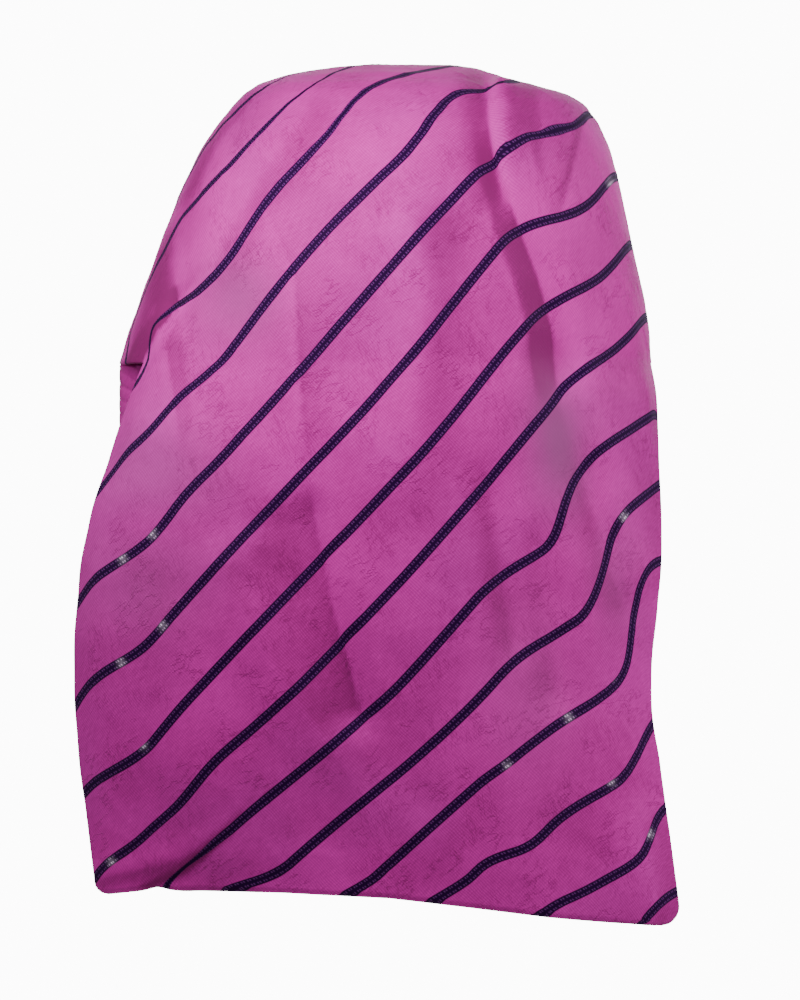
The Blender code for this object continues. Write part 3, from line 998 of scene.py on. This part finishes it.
@dataclass(frozen=True)
class DrapedCloth:
    """The crown and the fall: one cloth over the head, with a rolled edge."""

    grid: ClothGrid
    stripes: StripeLayout
    rumple: Rumple = field(default_factory=Rumple)
    wall: ClothWall = field(default_factory=ClothWall)
    hem_radius: float = 2.2 * MM
    split_radius: float = 0.65 * MM
    brow_radius: float = 0.95 * MM
    ease_length: float = 25 * MM
    calm_length: float = 14 * MM
    edge_share: float = 0.2
    glint_radius: float = 1.4

    def edge_radii(self, points: np.ndarray, border: np.ndarray) -> np.ndarray:
        """How round the edge is along the border: least where the fall leaves the crown."""
        hanging = 2 * (self.grid.fall_rows + 1) + self.grid.back_count - 2
        edge = points[border]
        splits = edge[[0, hanging - 1]]
        away = np.linalg.norm(edge[:, None] - splits, axis=2).min(axis=1)
        full = np.where(np.arange(len(border)) < hanging, self.hem_radius, self.brow_radius)
        return self.split_radius + (full - self.split_radius) * ease_step(away / self.ease_length)

    def glints(self, points: np.ndarray) -> np.ndarray:
        """How far the pale threads show at each point of the back."""
        radius = self.glint_radius
        return np.max([nearness(points, spot, radius, radius) for spot in GLINTS], axis=0)

    def widths(self, points: np.ndarray) -> np.ndarray:
        """How wide the stripes are at each point, in millimetres."""
        width = np.full(len(points), self.stripes.width / MM)
        for nip in NIPS:
            width += (nip.width - width) * nearness(points, nip, nip.radius, nip.radius)
        return width

    def painted_shade(self, points: np.ndarray) -> np.ndarray:
        """How much greyish shade is painted at each point of the back."""
        shares = [spot.share * nearness(points, spot, spot.wide, spot.high) for spot in SHADE_SPOTS]
        return np.max(shares, axis=0)

    def build(self, material: bpy.types.Material) -> bpy.types.Object:
        """Args:
            material: The striped cloth.

        Returns:
            The finished piece.
        """
        smooth, weave = self.grid.all_points()
        faces, border = self.grid.faces(), self.grid.border()
        crown_edge = smooth[self.grid.numbers()[0][-1]]
        calm = ease_step(nearest_of(smooth, smooth[border])[1] / self.calm_length)
        proud = self.rumple.heights(weave) * (self.edge_share + (1 - self.edge_share) * calm)
        points = smooth + vertex_normals(smooth, faces) * proud[:, None]
        sheet = self.wall.close(points, faces, border, self.edge_radii(points, border))
        phase = self.stripes.phase(weave, smooth)
        places = sheet.continued(weave, border)
        maps = self.stripes.maps(places, smooth[sheet.source])
        values = {
            "glint": self.glints(points),
            # Painted greyish shade at listed places.
            "painted_shade": self.painted_shade(points),
            "width": self.widths(points),
            # Painted shade from the folds' slopes.
            "fold_shade": self.grid.form.fold_slope(smooth),
            "pitch": np.clip(self.grid.spacings(phase, smooth) / MM, *self.stripes.pitch_limits),
        }
        piece = cloth_object("draped_cloth", sheet, maps, values, material)
        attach(piece, "root")
        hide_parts("bandana_cloth")
        area = area_of(points, faces)
        ring = walked(crown_edge, 0)[-1]
        return piece


@dataclass(frozen=True)
class SideWrap:
    """A side wrap: a gathered tail of the same cloth, from the temple to the nape."""

    side: Side
    form: WornForm
    stripes: StripeLayout
    wall: ClothWall = field(default_factory=lambda: ClothWall(wall=1.2 * MM, spread=3 * MM))
    columns: int = 130
    rows: int = 90
    clearance: float = 2.45 * MM
    swell_from: float = 110.8 * MM
    swell_whole: float = 113 * MM
    swell_more: float = 0.9 * MM
    gathers: float = 9.0
    gather_depth: float = 1.5 * MM
    fullness: float = 1.2
    edge_radius: float = 0.8 * MM
    stripe_shift: float = 0.45
    sway_waves: tuple[float, float] = (4.0, 1.5)
    sway_seed: float = 7.1
    size_waves: tuple[float, float] = (6.0, 5.0)
    size_seed: float = 2.3
    sway: float = 1.3
    slant: float = 0.8
    sewn_share: float = 0.08
    free_rate: float = 1.4
    sewn_length: float = 0.25
    unevenness: float = 0.9
    upper_end: float = 0.12
    lower_end: float = 0.08
    sharpness: float = 1.6
    swelling: float = 0.12 * MM

    @property
    def name(self) -> str:
        """The piece's name."""
        return f"{self.side.name.lower()}_wrap_cloth"

    def outer(self) -> tuple[np.ndarray, np.ndarray]:
        """The outer face's points and their places in the cloth, by row and column."""
        stations = np.linspace(0, 1, len(WRAP))
        along, down = np.meshgrid(np.linspace(0, 1, self.columns + 1), np.linspace(0, 1, self.rows + 1))
        turn = np.radians(smooth_curve(stations, [station.turn for station in WRAP], along))
        names = ("upper", "lower", "inset", "swell")
        columns = (smooth_curve(stations, column_of(WRAP, name), along) for name in names)
        upper, lower, inset, swell = columns
        drop = upper + (lower - upper) * down
        run = self.form.run_at_drop(np.minimum(drop, self.form.split_drop))
        face = self.form.crown_points(self.side.value * turn, run)
        shows = ease_step((drop - self.swell_from) / (self.swell_whole - self.swell_from))
        shows = shows * (self.side is Side.LEFT)
        inwards = -unit(face * np.array([1.0, 1.0, 0.0]))
        inside = self.clearance + inset - (swell + self.swell_more * (swell > 0)) * shows
        points = face + inwards * inside[..., None]
        points[..., 2] = -drop
        places = self.places(points)
        points += inwards * self.gathered(along, down)[..., None]
        return points, places

    def gathered(self, along: np.ndarray, down: np.ndarray) -> np.ndarray:
        """How far the gathers sink in: deeper towards the nape, and shallow where it is sewn in."""
        sway = grid_noise(self.sway_waves[0] * along, self.sway_waves[1] * down, self.sway_seed)
        size = grid_noise(self.size_waves[0] * along, self.size_waves[1] * down, self.size_seed)
        turns = self.gathers * down + self.sway * sway + self.slant * along
        valley = (1 - np.abs(np.sin(math.pi * turns))) ** self.sharpness
        free = ease_step(along * self.free_rate - self.sewn_length)
        depth = self.gather_depth * (self.sewn_share + (1 - self.sewn_share) * free)
        ends = ease_step(down / self.upper_end) * ease_step((1 - down) / self.lower_end)
        return depth * (1 + self.unevenness * size) * valley * ends + self.swelling * (1 + size)

    def places(self, points: np.ndarray) -> np.ndarray:
        """The cloth's own coordinates of a grid of points, along it and across it."""
        return np.stack([walked(points, 1) * -self.side.value, walked(points, 0)], axis=-1)

    def build(self, material: bpy.types.Material, replaced: str) -> bpy.types.Object:
        """Args:
            material: The striped cloth.
            replaced: The solid that it stands for.

        Returns:
            The finished piece.
        """
        points, places = self.outer()
        if self.side is Side.RIGHT:
            points, places = points[:, ::-1], places[:, ::-1]
        faces, border = grid_faces(points)
        flat_points, flat_places = points.reshape(-1, 3), places.reshape(-1, 2)
        outwards = flat_points.mean(axis=0) * [1, 1, 0]
        if np.dot(vertex_normals(flat_points, faces).mean(axis=0), outwards) < 0:
            faces, border = [face[::-1] for face in faces], border[::-1]
        sheet = self.wall.close(flat_points, faces, border, np.full(len(border), self.edge_radius))
        pulled_at = flat_points[sheet.source] * [1, 0, 1]
        maps = self.stripes.maps(flat_places[sheet.source], pulled_at, self.stripe_shift)
        level = np.ones(len(flat_points)) / MM
        values = {"pitch": self.stripes.pitch * level, "width": self.stripes.width * level}
        piece = cloth_object(self.name, sheet, maps, values, material)
        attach(piece, "root")
        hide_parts(replaced)
        area = area_of(flat_points, faces)
        long, wide = np.abs(flat_places[:, 0]).max(), flat_places[:, 1].max()
        log.info("%s: %.4f m2 of cloth, %.3f by %.3f m", self.name, area, long, wide)
        return piece


@dataclass(frozen=True)
class NapeBand:
    """The elastic band that joins the two wraps at the nape."""

    form: WornForm
    wall: ClothWall = field(default_factory=lambda: ClothWall(wall=1.8 * MM, spread=2 * MM))
    half_turn: float = math.radians(22)
    upper: float = 145 * MM
    lower: float = 187 * MM
    inset: float = 23.15 * MM
    columns: int = 120
    rows: int = 56
    ribs: int = 14
    rib_depth: float = 0.35 * MM
    edge_radius: float = 0.95 * MM
    relaxed: float = 0.85

    def build(self, material: bpy.types.Material) -> bpy.types.Object:
        """Args:
            material: The band's cloth.

        Returns:
            The finished piece.
        """
        turn, drop = np.meshgrid(
            np.linspace(-self.half_turn, self.half_turn, self.columns + 1),
            np.linspace(self.upper, self.lower, self.rows + 1),
        )
        run = np.broadcast_to(self.form.run_at_drop(self.form.split_drop), turn.shape)
        face = self.form.crown_points(turn, run)
        inwards = -unit(face * np.array([1.0, 1.0, 0.0]))
        share = (drop - self.upper) / (self.lower - self.upper)
        rib = self.rib_depth * (0.5 - 0.5 * np.cos(2 * math.pi * self.ribs * share))
        points = face + inwards * (self.inset + rib)[..., None]
        points[..., 2] = -drop
        faces, border = grid_faces(points)
        flat = points.reshape(-1, 3)
        sheet = self.wall.close(flat, faces, border, np.full(len(border), self.edge_radius))
        across = walked(points[0], 0)
        cloth = np.stack([np.broadcast_to(across, turn.shape), drop], axis=-1).reshape(-1, 2)
        piece = cloth_object("elastic_band", sheet, {"cloth": cloth[sheet.source] / MM}, {}, material)
        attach(piece, "root")
        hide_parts("nape_band")
        log.info("elastic band: %.3f m long", across[-1])
        return piece


@dataclass(frozen=True)
class Board:
    """A node tree on which nodes are placed and joined."""

    tree: bpy.types.NodeTree

    def feed(self, target: bpy.types.NodeSocket, source: Source) -> None:
        """Gives a socket a value, or joins another socket to it."""
        if isinstance(source, bpy.types.NodeSocket):
            self.tree.links.new(source, target)
        else:
            target.default_value = source

    def fill(self, node: bpy.types.Node, inputs: dict[Any, Source]) -> None:
        """Gives a node's inputs values or sockets, by the name or number of the input."""
        for name, source in inputs.items():
            self.feed(node.inputs[name], source)

    def place(self, kind: str, inputs: dict[Any, Source], **settings: Any) -> bpy.types.Node:
        """Adds a node.

        Args:
            kind: Its type.
            inputs: Values or sockets by the name or number of the input.
            settings: Its own settings.

        Returns:
            The node.
        """
        node = self.tree.nodes.new(kind)
        for name, value in settings.items():
            setattr(node, name, value)
        self.fill(node, inputs)
        return node

    def sum(self, operation: str, first: Source, second: Source = 0.0, third: Source = 0.0) -> Source:
        """One step of arithmetic."""
        inputs = dict(enumerate((first, second, third)))
        return self.place("ShaderNodeMath", inputs, operation=operation).outputs[0]

    def times(self, first: Source, second: Source) -> Source:
        """One number times another."""
        return self.sum("MULTIPLY", first, second)

    def added(self, first: Source, share: Source, second: Source) -> Source:
        """A share of one number, added to another."""
        return self.sum("MULTIPLY_ADD", first, share, second)

    def apart(self, first: Source, second: Source) -> Source:
        """How far two numbers are apart."""
        return self.sum("ABSOLUTE", self.sum("SUBTRACT", first, second))

    def step(self, value: Source, low: float, high: float) -> Source:
        """A smooth step from 0 at low to 1 at high, or down where low is the greater."""
        turned = low > high
        ends = {"From Min": min(low, high), "From Max": max(low, high)}
        ends |= {"To Min": float(turned), "To Max": float(not turned)}
        node = self.place("ShaderNodeMapRange", {"Value": value} | ends, interpolation_type="SMOOTHSTEP")
        return node.outputs["Result"]

    def mixed(self, share: Source, first: Source, second: Source) -> Source:
        """Two colours mixed."""
        node = self.place("ShaderNodeMix", {}, data_type="RGBA", blend_type="MIX")
        self.feed(node.inputs["Factor"], share)
        colours = [socket for socket in node.inputs if socket.type == "RGBA"]
        self.feed(colours[0], first)
        self.feed(colours[1], second)
        return next(socket for socket in node.outputs if socket.type == "RGBA")

    def noise(
        self, places: Source, scale: float = 1.0, detail: float = 2.0, roughness: float = 0.5
    ) -> Source:
        """Noise at places, about 0 to 1."""
        inputs = {"Vector": places, "Scale": scale, "Detail": detail, "Roughness": roughness}
        return self.place("ShaderNodeTexNoise", inputs).outputs[0]

    def stretched(self, places: Source, scale: tuple[float, float, float], turned: float) -> Source:
        """Places turned and then scaled differently each way."""
        inputs = {"Vector": places, "Rotation": (0.0, 0.0, math.radians(turned))}
        rotated = self.place("ShaderNodeMapping", inputs).outputs[0]
        return self.place("ShaderNodeMapping", {"Vector": rotated, "Scale": scale}).outputs[0]

    def across_and_along(self, places: Source) -> tuple[Source, Source]:
        """The first two numbers of places."""
        parts = self.place("ShaderNodeSeparateXYZ", {0: places}).outputs
        return parts["X"], parts["Y"]

    def uv_map(self, name: str) -> Source:
        """The places that a piece's UV map gives."""
        return self.place("ShaderNodeUVMap", {}, uv_map=name).outputs[0]

    def carried(self, name: str) -> Source:
        """A number that a piece carries at its points."""
        return self.place("ShaderNodeAttribute", {}, attribute_name=name).outputs["Fac"]

    def group(self, build: Any, inputs: dict[Any, Source]) -> Any:
        """The outputs of a node group, which is built once by its function."""
        tree = bpy.data.node_groups.get(build.__name__) or build()
        return self.place("ShaderNodeGroup", inputs, node_tree=tree).outputs


def new_group(name: str, inputs: dict[str, str], outputs: dict[str, str]) -> tuple[Board, Any, Any]:
    """A shader node group with named sockets.

    Args:
        name: The group's name.
        inputs: The types of what goes in, by name.
        outputs: The types of what comes out, by name.

    Returns:
        The group's board, the sockets of what goes in and those of what comes out.
    """
    tree = bpy.data.node_groups.new(name, "ShaderNodeTree")
    for sockets, way in ((inputs, "INPUT"), (outputs, "OUTPUT")):
        for label, kind in sockets.items():
            tree.interface.new_socket(name=label, in_out=way, socket_type=kind)
    start, end = tree.nodes.new("NodeGroupInput"), tree.nodes.new("NodeGroupOutput")
    return Board(tree), start.outputs, end.inputs


def new_material(name: str) -> tuple[bpy.types.Material, Board, bpy.types.Node]:
    """A new material, its board and its surface."""
    material = bpy.data.materials.new(name)
    material.use_nodes = True
    return material, Board(material.node_tree), material.node_tree.nodes["Principled BSDF"]


VALUE, VECTOR = "NodeSocketFloat", "NodeSocketVector"


def twill_weave() -> bpy.types.NodeTree:
    """A group for the fine diagonal lines of satin twill, from places in millimetres."""
    across_share, down_share, sway_share, sway_scale = 0.72, -0.69, 1.2, 0.12
    fleck_scale, fleck_turn = (0.25, 2.4, 1.0), 44.0
    outputs = {"Height": VALUE, "Tone": VALUE}
    board, start, end = new_group("twill_weave", {"Cloth": VECTOR, "Pitch": VALUE}, outputs)
    across, down = board.across_and_along(start["Cloth"])
    lean = board.added(across, across_share, board.times(down, down_share))
    lean = board.added(board.noise(start["Cloth"], sway_scale), sway_share, lean)
    turns = board.sum("DIVIDE", lean, start["Pitch"])
    wave = board.sum("SINE", board.times(turns, 2 * math.pi))
    fleck = board.noise(board.stretched(start["Cloth"], fleck_scale, fleck_turn))
    height = board.times(board.added(wave, 0.5, 0.5), fleck)
    board.feed(end["Height"], height)
    board.feed(end["Tone"], board.added(fleck, 0.5, board.times(height, 0.5)))
    return board.tree


def ladder_stripe() -> bpy.types.NodeTree:
    """A group for the woven stripes, from the count of the stripes and of their repeats."""
    edge, row_place, row_ends = 0.2, 0.95, (0.5, 0.25)
    dash_ends, hole_ends = (0.36, 0.26), (0.05, 0.12)
    thread_height, stripe_height = 0.6, 0.4
    inputs = {"Stripes": VECTOR, "Pitch": VALUE, "Width": VALUE}
    outputs = {"Stripe": VALUE, "Thread": VALUE, "Height": VALUE}
    board, start, end = new_group("ladder_stripe", inputs, outputs)
    count, repeats = board.across_and_along(start["Stripes"])
    from_stripe = board.sum("SUBTRACT", count, board.sum("ROUND", count))
    aside = board.sum("ABSOLUTE", board.times(from_stripe, start["Pitch"]))
    half = board.times(start["Width"], 0.5)
    stripe = board.step(board.sum("SUBTRACT", aside, half), edge, -edge)
    from_middle = board.apart(board.sum("FRACT", repeats), 0.5)
    row = board.step(board.apart(aside, row_place), *row_ends)
    dash = board.times(row, board.step(from_middle, *dash_ends))
    thread = board.times(board.times(dash, board.step(from_middle, *hole_ends)), stripe)
    board.feed(end["Stripe"], stripe)
    board.feed(end["Thread"], thread)
    board.feed(end["Height"], board.added(thread, thread_height, board.times(stripe, stripe_height)))
    return board.tree


class SmallCrease(NamedTuple):
    """A run of small creases: how far it is turned in degrees, its scale each way and its share."""

    turned: float
    scale: tuple[float, float, float]
    share: float


SMALL_CREASES = (
    SmallCrease(35.0, (0.09, 0.22, 1.0), 1.0),
    SmallCrease(-70.0, (0.07, 0.26, 1.0), 0.7),
)


def fine_creases() -> bpy.types.NodeTree:
    """A group for the small creases that lie in patches over worn cloth."""
    ridge_width, patch_scale, patch_ends, tone_scale = 0.035, (0.05, 0.05, 1.0), (0.5, 0.62), 0.018
    outputs = {"Height": VALUE, "Tone": VALUE}
    board, start, end = new_group("fine_creases", {"Cloth": VECTOR}, outputs)
    total: Source = 0.0
    for turned, scale, share in SMALL_CREASES:
        wave = board.noise(board.stretched(start["Cloth"], scale, turned), detail=3.0, roughness=0.6)
        ridge = board.step(board.apart(wave, 0.5), ridge_width, 0.0)
        patch = board.noise(board.stretched(start["Cloth"], patch_scale, turned))
        total = board.added(board.times(ridge, board.step(patch, *patch_ends)), share, total)
    board.feed(end["Height"], total)
    board.feed(end["Tone"], board.noise(start["Cloth"], tone_scale, 3.0, 0.55))
    return board.tree


@dataclass(frozen=True)
class StripedSatin:
    """Magenta satin twill with dark woven stripes and a few pale threads. Shade from the folds and creases
    is painted into its colour.
    """

    name: str = "striped_satin"
    # shade and light are the cloth's colour painted in shade and lit. The tone and the painted fold shade
    # choose between them.
    shade: Colour = (0.20, 0.010, 0.11, 1.0)
    light: Colour = (0.82, 0.036, 0.50, 1.0)
    lilac: Colour = (0.56, 0.06, 0.44, 1.0)
    # The dark greyish colour of the painted shade spots.
    grey: Colour = (0.26, 0.055, 0.19, 1.0)
    stripe: Colour = (0.012, 0.001, 0.026, 1.0)
    thread: Colour = (0.09, 0.020, 0.12, 1.0)
    glint: Colour = (0.85, 0.66, 0.86, 1.0)
    roughness: float = 0.5
    rough_share: float = 0.10
    sheen: float = 0.02
    sheen_roughness: float = 0.4
    sheen_tint: Colour = (1.0, 0.62, 0.88, 1.0)
    ior: float = 1.42
    specular: float = 0.08
    specular_tint: Colour = (1.0, 0.35, 0.85, 1.0)
    slope_share: float = 0.9
    crease_share: float = -0.12
    lilac_scale: float = 0.011
    lilac_ends: tuple[float, float] = (0.42, 0.66)
    lilac_share: float = 0.35
    pale_by_thread: float = 0.9
    pale_least: float = 0.25
    twill_pitch: float = 0.9
    twill_height: float = 0.05
    crease_height: float = 0.12
    stripe_height: float = 0.12
    bump: float = 0.8

    def build(self) -> bpy.types.Material:
        """Makes the material."""
        material, board, shader = new_material(self.name)
        cloth, spacing, width = board.uv_map("cloth"), board.carried("pitch"), board.carried("width")
        laid = {"Stripes": board.uv_map("stripes"), "Pitch": spacing, "Width": width}
        twill = board.group(twill_weave, {"Cloth": cloth, "Pitch": self.twill_pitch})
        ladder = board.group(ladder_stripe, laid)
        creases = board.group(fine_creases, {"Cloth": cloth})

        # The tone is partly the cloth's random tone and partly painted shade. It is darker along the small
        # creases and follows the folds' slopes.
        tone_and_shade = board.added(creases["Tone"], 0.5, board.times(twill["Tone"], 0.5))
        tone_and_shade = board.added(creases["Height"], self.crease_share, tone_and_shade)
        tone_and_shade = board.added(board.carried("fold_shade"), self.slope_share, tone_and_shade)
        drift = board.step(board.noise(cloth, self.lilac_scale), *self.lilac_ends)
        light = board.mixed(board.times(drift, self.lilac_share), self.light, self.lilac)
        ground = board.mixed(board.step(tone_and_shade, 0.0, 1.0), self.shade, light)
        # Painted greyish shade at listed places.
        ground = board.mixed(board.carried("painted_shade"), ground, self.grey)

        band = board.mixed(ladder["Thread"], self.stripe, self.thread)
        pale = board.added(ladder["Thread"], self.pale_by_thread, self.pale_least)
        pale = board.times(board.times(board.carried("glint"), pale), ladder["Stripe"])
        band = board.mixed(pale, band, self.glint)
        rough = board.added(twill["Tone"], self.rough_share, self.roughness)

        height = board.times(twill["Height"], self.twill_height)
        height = board.added(creases["Height"], self.crease_height, height)
        height = board.added(ladder["Height"], self.stripe_height, height)
        proud = {"Height": height, "Strength": self.bump, "Distance": 1 * MM}
        surface = {
            "Base Color": board.mixed(ladder["Stripe"], ground, band),
            "Roughness": board.added(ladder["Stripe"], self.rough_share, rough),
            "Sheen Weight": self.sheen,
            "Sheen Roughness": self.sheen_roughness,
            "Sheen Tint": self.sheen_tint,
            "IOR": self.ior,
            "Specular IOR Level": self.specular,
            "Specular Tint": self.specular_tint,
            "Normal": board.place("ShaderNodeBump", proud).outputs[0],
        }
        board.fill(shader, surface)
        return material


@dataclass(frozen=True)
class RibbedElastic:
    """The dark elastic of the nape band."""

    name: str = "ribbed_elastic"
    # The ground colour is painted shade in the grooves between the strands. The raised colour is the
    # strands' lit tops.
    ground: Colour = (0.055, 0.012, 0.045, 1.0)
    raised: Colour = (0.11, 0.025, 0.09, 1.0)
    roughness: float = 0.7
    rough_share: float = 0.12
    twill_pitch: float = 1.4
    strand_pitch: float = 1.1
    strand_share: float = 0.25
    raised_from: float = 0.8
    bump: float = 0.7
    bump_depth: float = 0.3 * MM

    def build(self) -> bpy.types.Material:
        """Makes the material."""
        material, board, shader = new_material(self.name)
        cloth = board.uv_map("cloth")
        twill = board.group(twill_weave, {"Cloth": cloth, "Pitch": self.twill_pitch})
        across, _ = board.across_and_along(cloth)
        strand = board.sum("SINE", board.times(across, 2 * math.pi / self.strand_pitch))
        height = board.added(strand, self.strand_share, twill["Height"])
        # Painted shade: the colour darkens with the strands' height, down into the grooves.
        share = board.step(height, 0.0, self.raised_from)
        proud = {"Height": height, "Strength": self.bump, "Distance": self.bump_depth}
        surface = {
            "Base Color": board.mixed(share, self.ground, self.raised),
            "Roughness": board.added(twill["Tone"], self.rough_share, self.roughness),
            "Normal": board.place("ShaderNodeBump", proud).outputs[0],
        }
        board.fill(shader, surface)
        return material


class Lamp(NamedTuple):
    """A soft light: where it stands, what it faces, how wide it is and its power."""

    name: str
    place: tuple[float, float, float]
    width: float
    power: float


LAMPS = (
    Lamp("key_light", (-0.12, -0.29, 0.09), 0.24, 1.9),
    Lamp("side_light", (1.05, -0.40, 0.15), 0.5, 11.2),
    Lamp("right_light", (0.95, 0.40, 0.30), 0.5, 2.0),
    Lamp("left_light", (-0.95, 0.10, 0.20), 0.5, 3.0),
    Lamp("front_light", (0.1, 0.9, 0.0), 0.8, 4.0),
)


@dataclass(frozen=True)
class Studio:
    """A pale floor, soft light and the camera behind the wearer."""

    middle: Vector = field(default_factory=lambda: Vector((3.75 * MM, -60 * MM, -163.5 * MM)))
    distance: float = 10.0
    frame_height: float = 375 * MM
    sensor: float = 36.0
    floor_drop: float = 0.65
    floor_size: float = 12.0
    seen_white: float = 12.0
    ambient: float = 0.19
    pale: Colour = (0.80, 0.79, 0.80, 1.0)
    dull_share: float = 0.97
    floor_grain: float = 40.0
    floor_roughness: float = 0.85
    seen_to: float = 50.0

    def floor(self) -> None:
        """Lays the floor below the object."""
        bpy.ops.object.select_all(action="DESELECT")
        bpy.ops.mesh.primitive_plane_add(size=self.floor_size, location=(0, 0, -self.floor_drop))
        floor = bpy.context.active_object
        floor.name = "floor"
        material, board, shader = new_material("pale_floor")
        places = board.place("ShaderNodeTexCoord", {}).outputs["Object"]
        grain = board.noise(places, self.floor_grain, detail=4.0)
        dull = tuple(part * self.dull_share for part in self.pale[:3]) + (1.0,)
        colour = board.mixed(grain, dull, self.pale)
        board.fill(shader, {"Base Color": colour, "Roughness": self.floor_roughness})
        floor.data.materials.append(material)

    def lights(self) -> None:
        """Hangs the lamps, each one facing the object."""
        for lamp in LAMPS:
            data = bpy.data.lights.new(lamp.name, "AREA")
            data.shape = "DISK"
            data.size = lamp.width
            data.energy = lamp.power
            light = bpy.data.objects.new(lamp.name, data)
            light.location = lamp.place
            light.visible_camera = False
            towards = self.middle - Vector(lamp.place)
            light.rotation_euler = towards.to_track_quat("-Z", "Y").to_euler()
            bpy.context.scene.collection.objects.link(light)

    def surroundings(self) -> None:
        """Makes the background white to the camera and a soft light to everything else."""
        world = bpy.data.worlds.new("studio")
        world.use_nodes = True
        bpy.context.scene.world = world
        board = Board(world.node_tree)
        background = world.node_tree.nodes["Background"]
        seen = board.place("ShaderNodeLightPath", {}).outputs["Is Camera Ray"]
        strength = board.added(seen, self.seen_white - self.ambient, self.ambient)
        board.fill(background, {"Color": (1.0, 1.0, 1.0, 1.0), "Strength": strength})

    def camera(self) -> None:
        """Sets the camera level with the cloth's middle, behind the wearer."""
        data = bpy.data.cameras.new("camera")
        data.sensor_width = self.sensor
        data.lens = self.sensor * self.distance / self.frame_height
        data.clip_end = self.seen_to
        camera = bpy.data.objects.new("camera", data)
        camera.location = self.middle - Vector((0.0, self.distance, 0.0))
        camera.rotation_euler = (math.pi / 2, 0.0, 0.0)
        bpy.context.scene.collection.objects.link(camera)
        bpy.context.scene.camera = camera

    def build(self) -> None:
        """Sets up the whole studio."""
        self.floor()
        self.lights()
        self.surroundings()
        self.camera()


def main() -> None:
    """Builds the bandana over its solids, and the studio."""
    logging.basicConfig(level=logging.INFO, format="%(name)s: %(message)s")
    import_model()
    form, stripes = WornForm(), StripeLayout()
    satin = StripedSatin().build()
    pieces = [DrapedCloth(ClothGrid(form), stripes).build(satin)]
    pieces.append(SideWrap(Side.LEFT, form, stripes).build(satin, "left_wrap"))
    pieces.append(SideWrap(Side.RIGHT, form, stripes).build(satin, "right_wrap"))
    pieces.append(NapeBand(form).build(RibbedElastic().build()))
    for piece in pieces:
        log.info("built %s with %d faces", piece.name, len(piece.data.polygons))
    Studio().build()


if __name__ == "__main__":
    main()
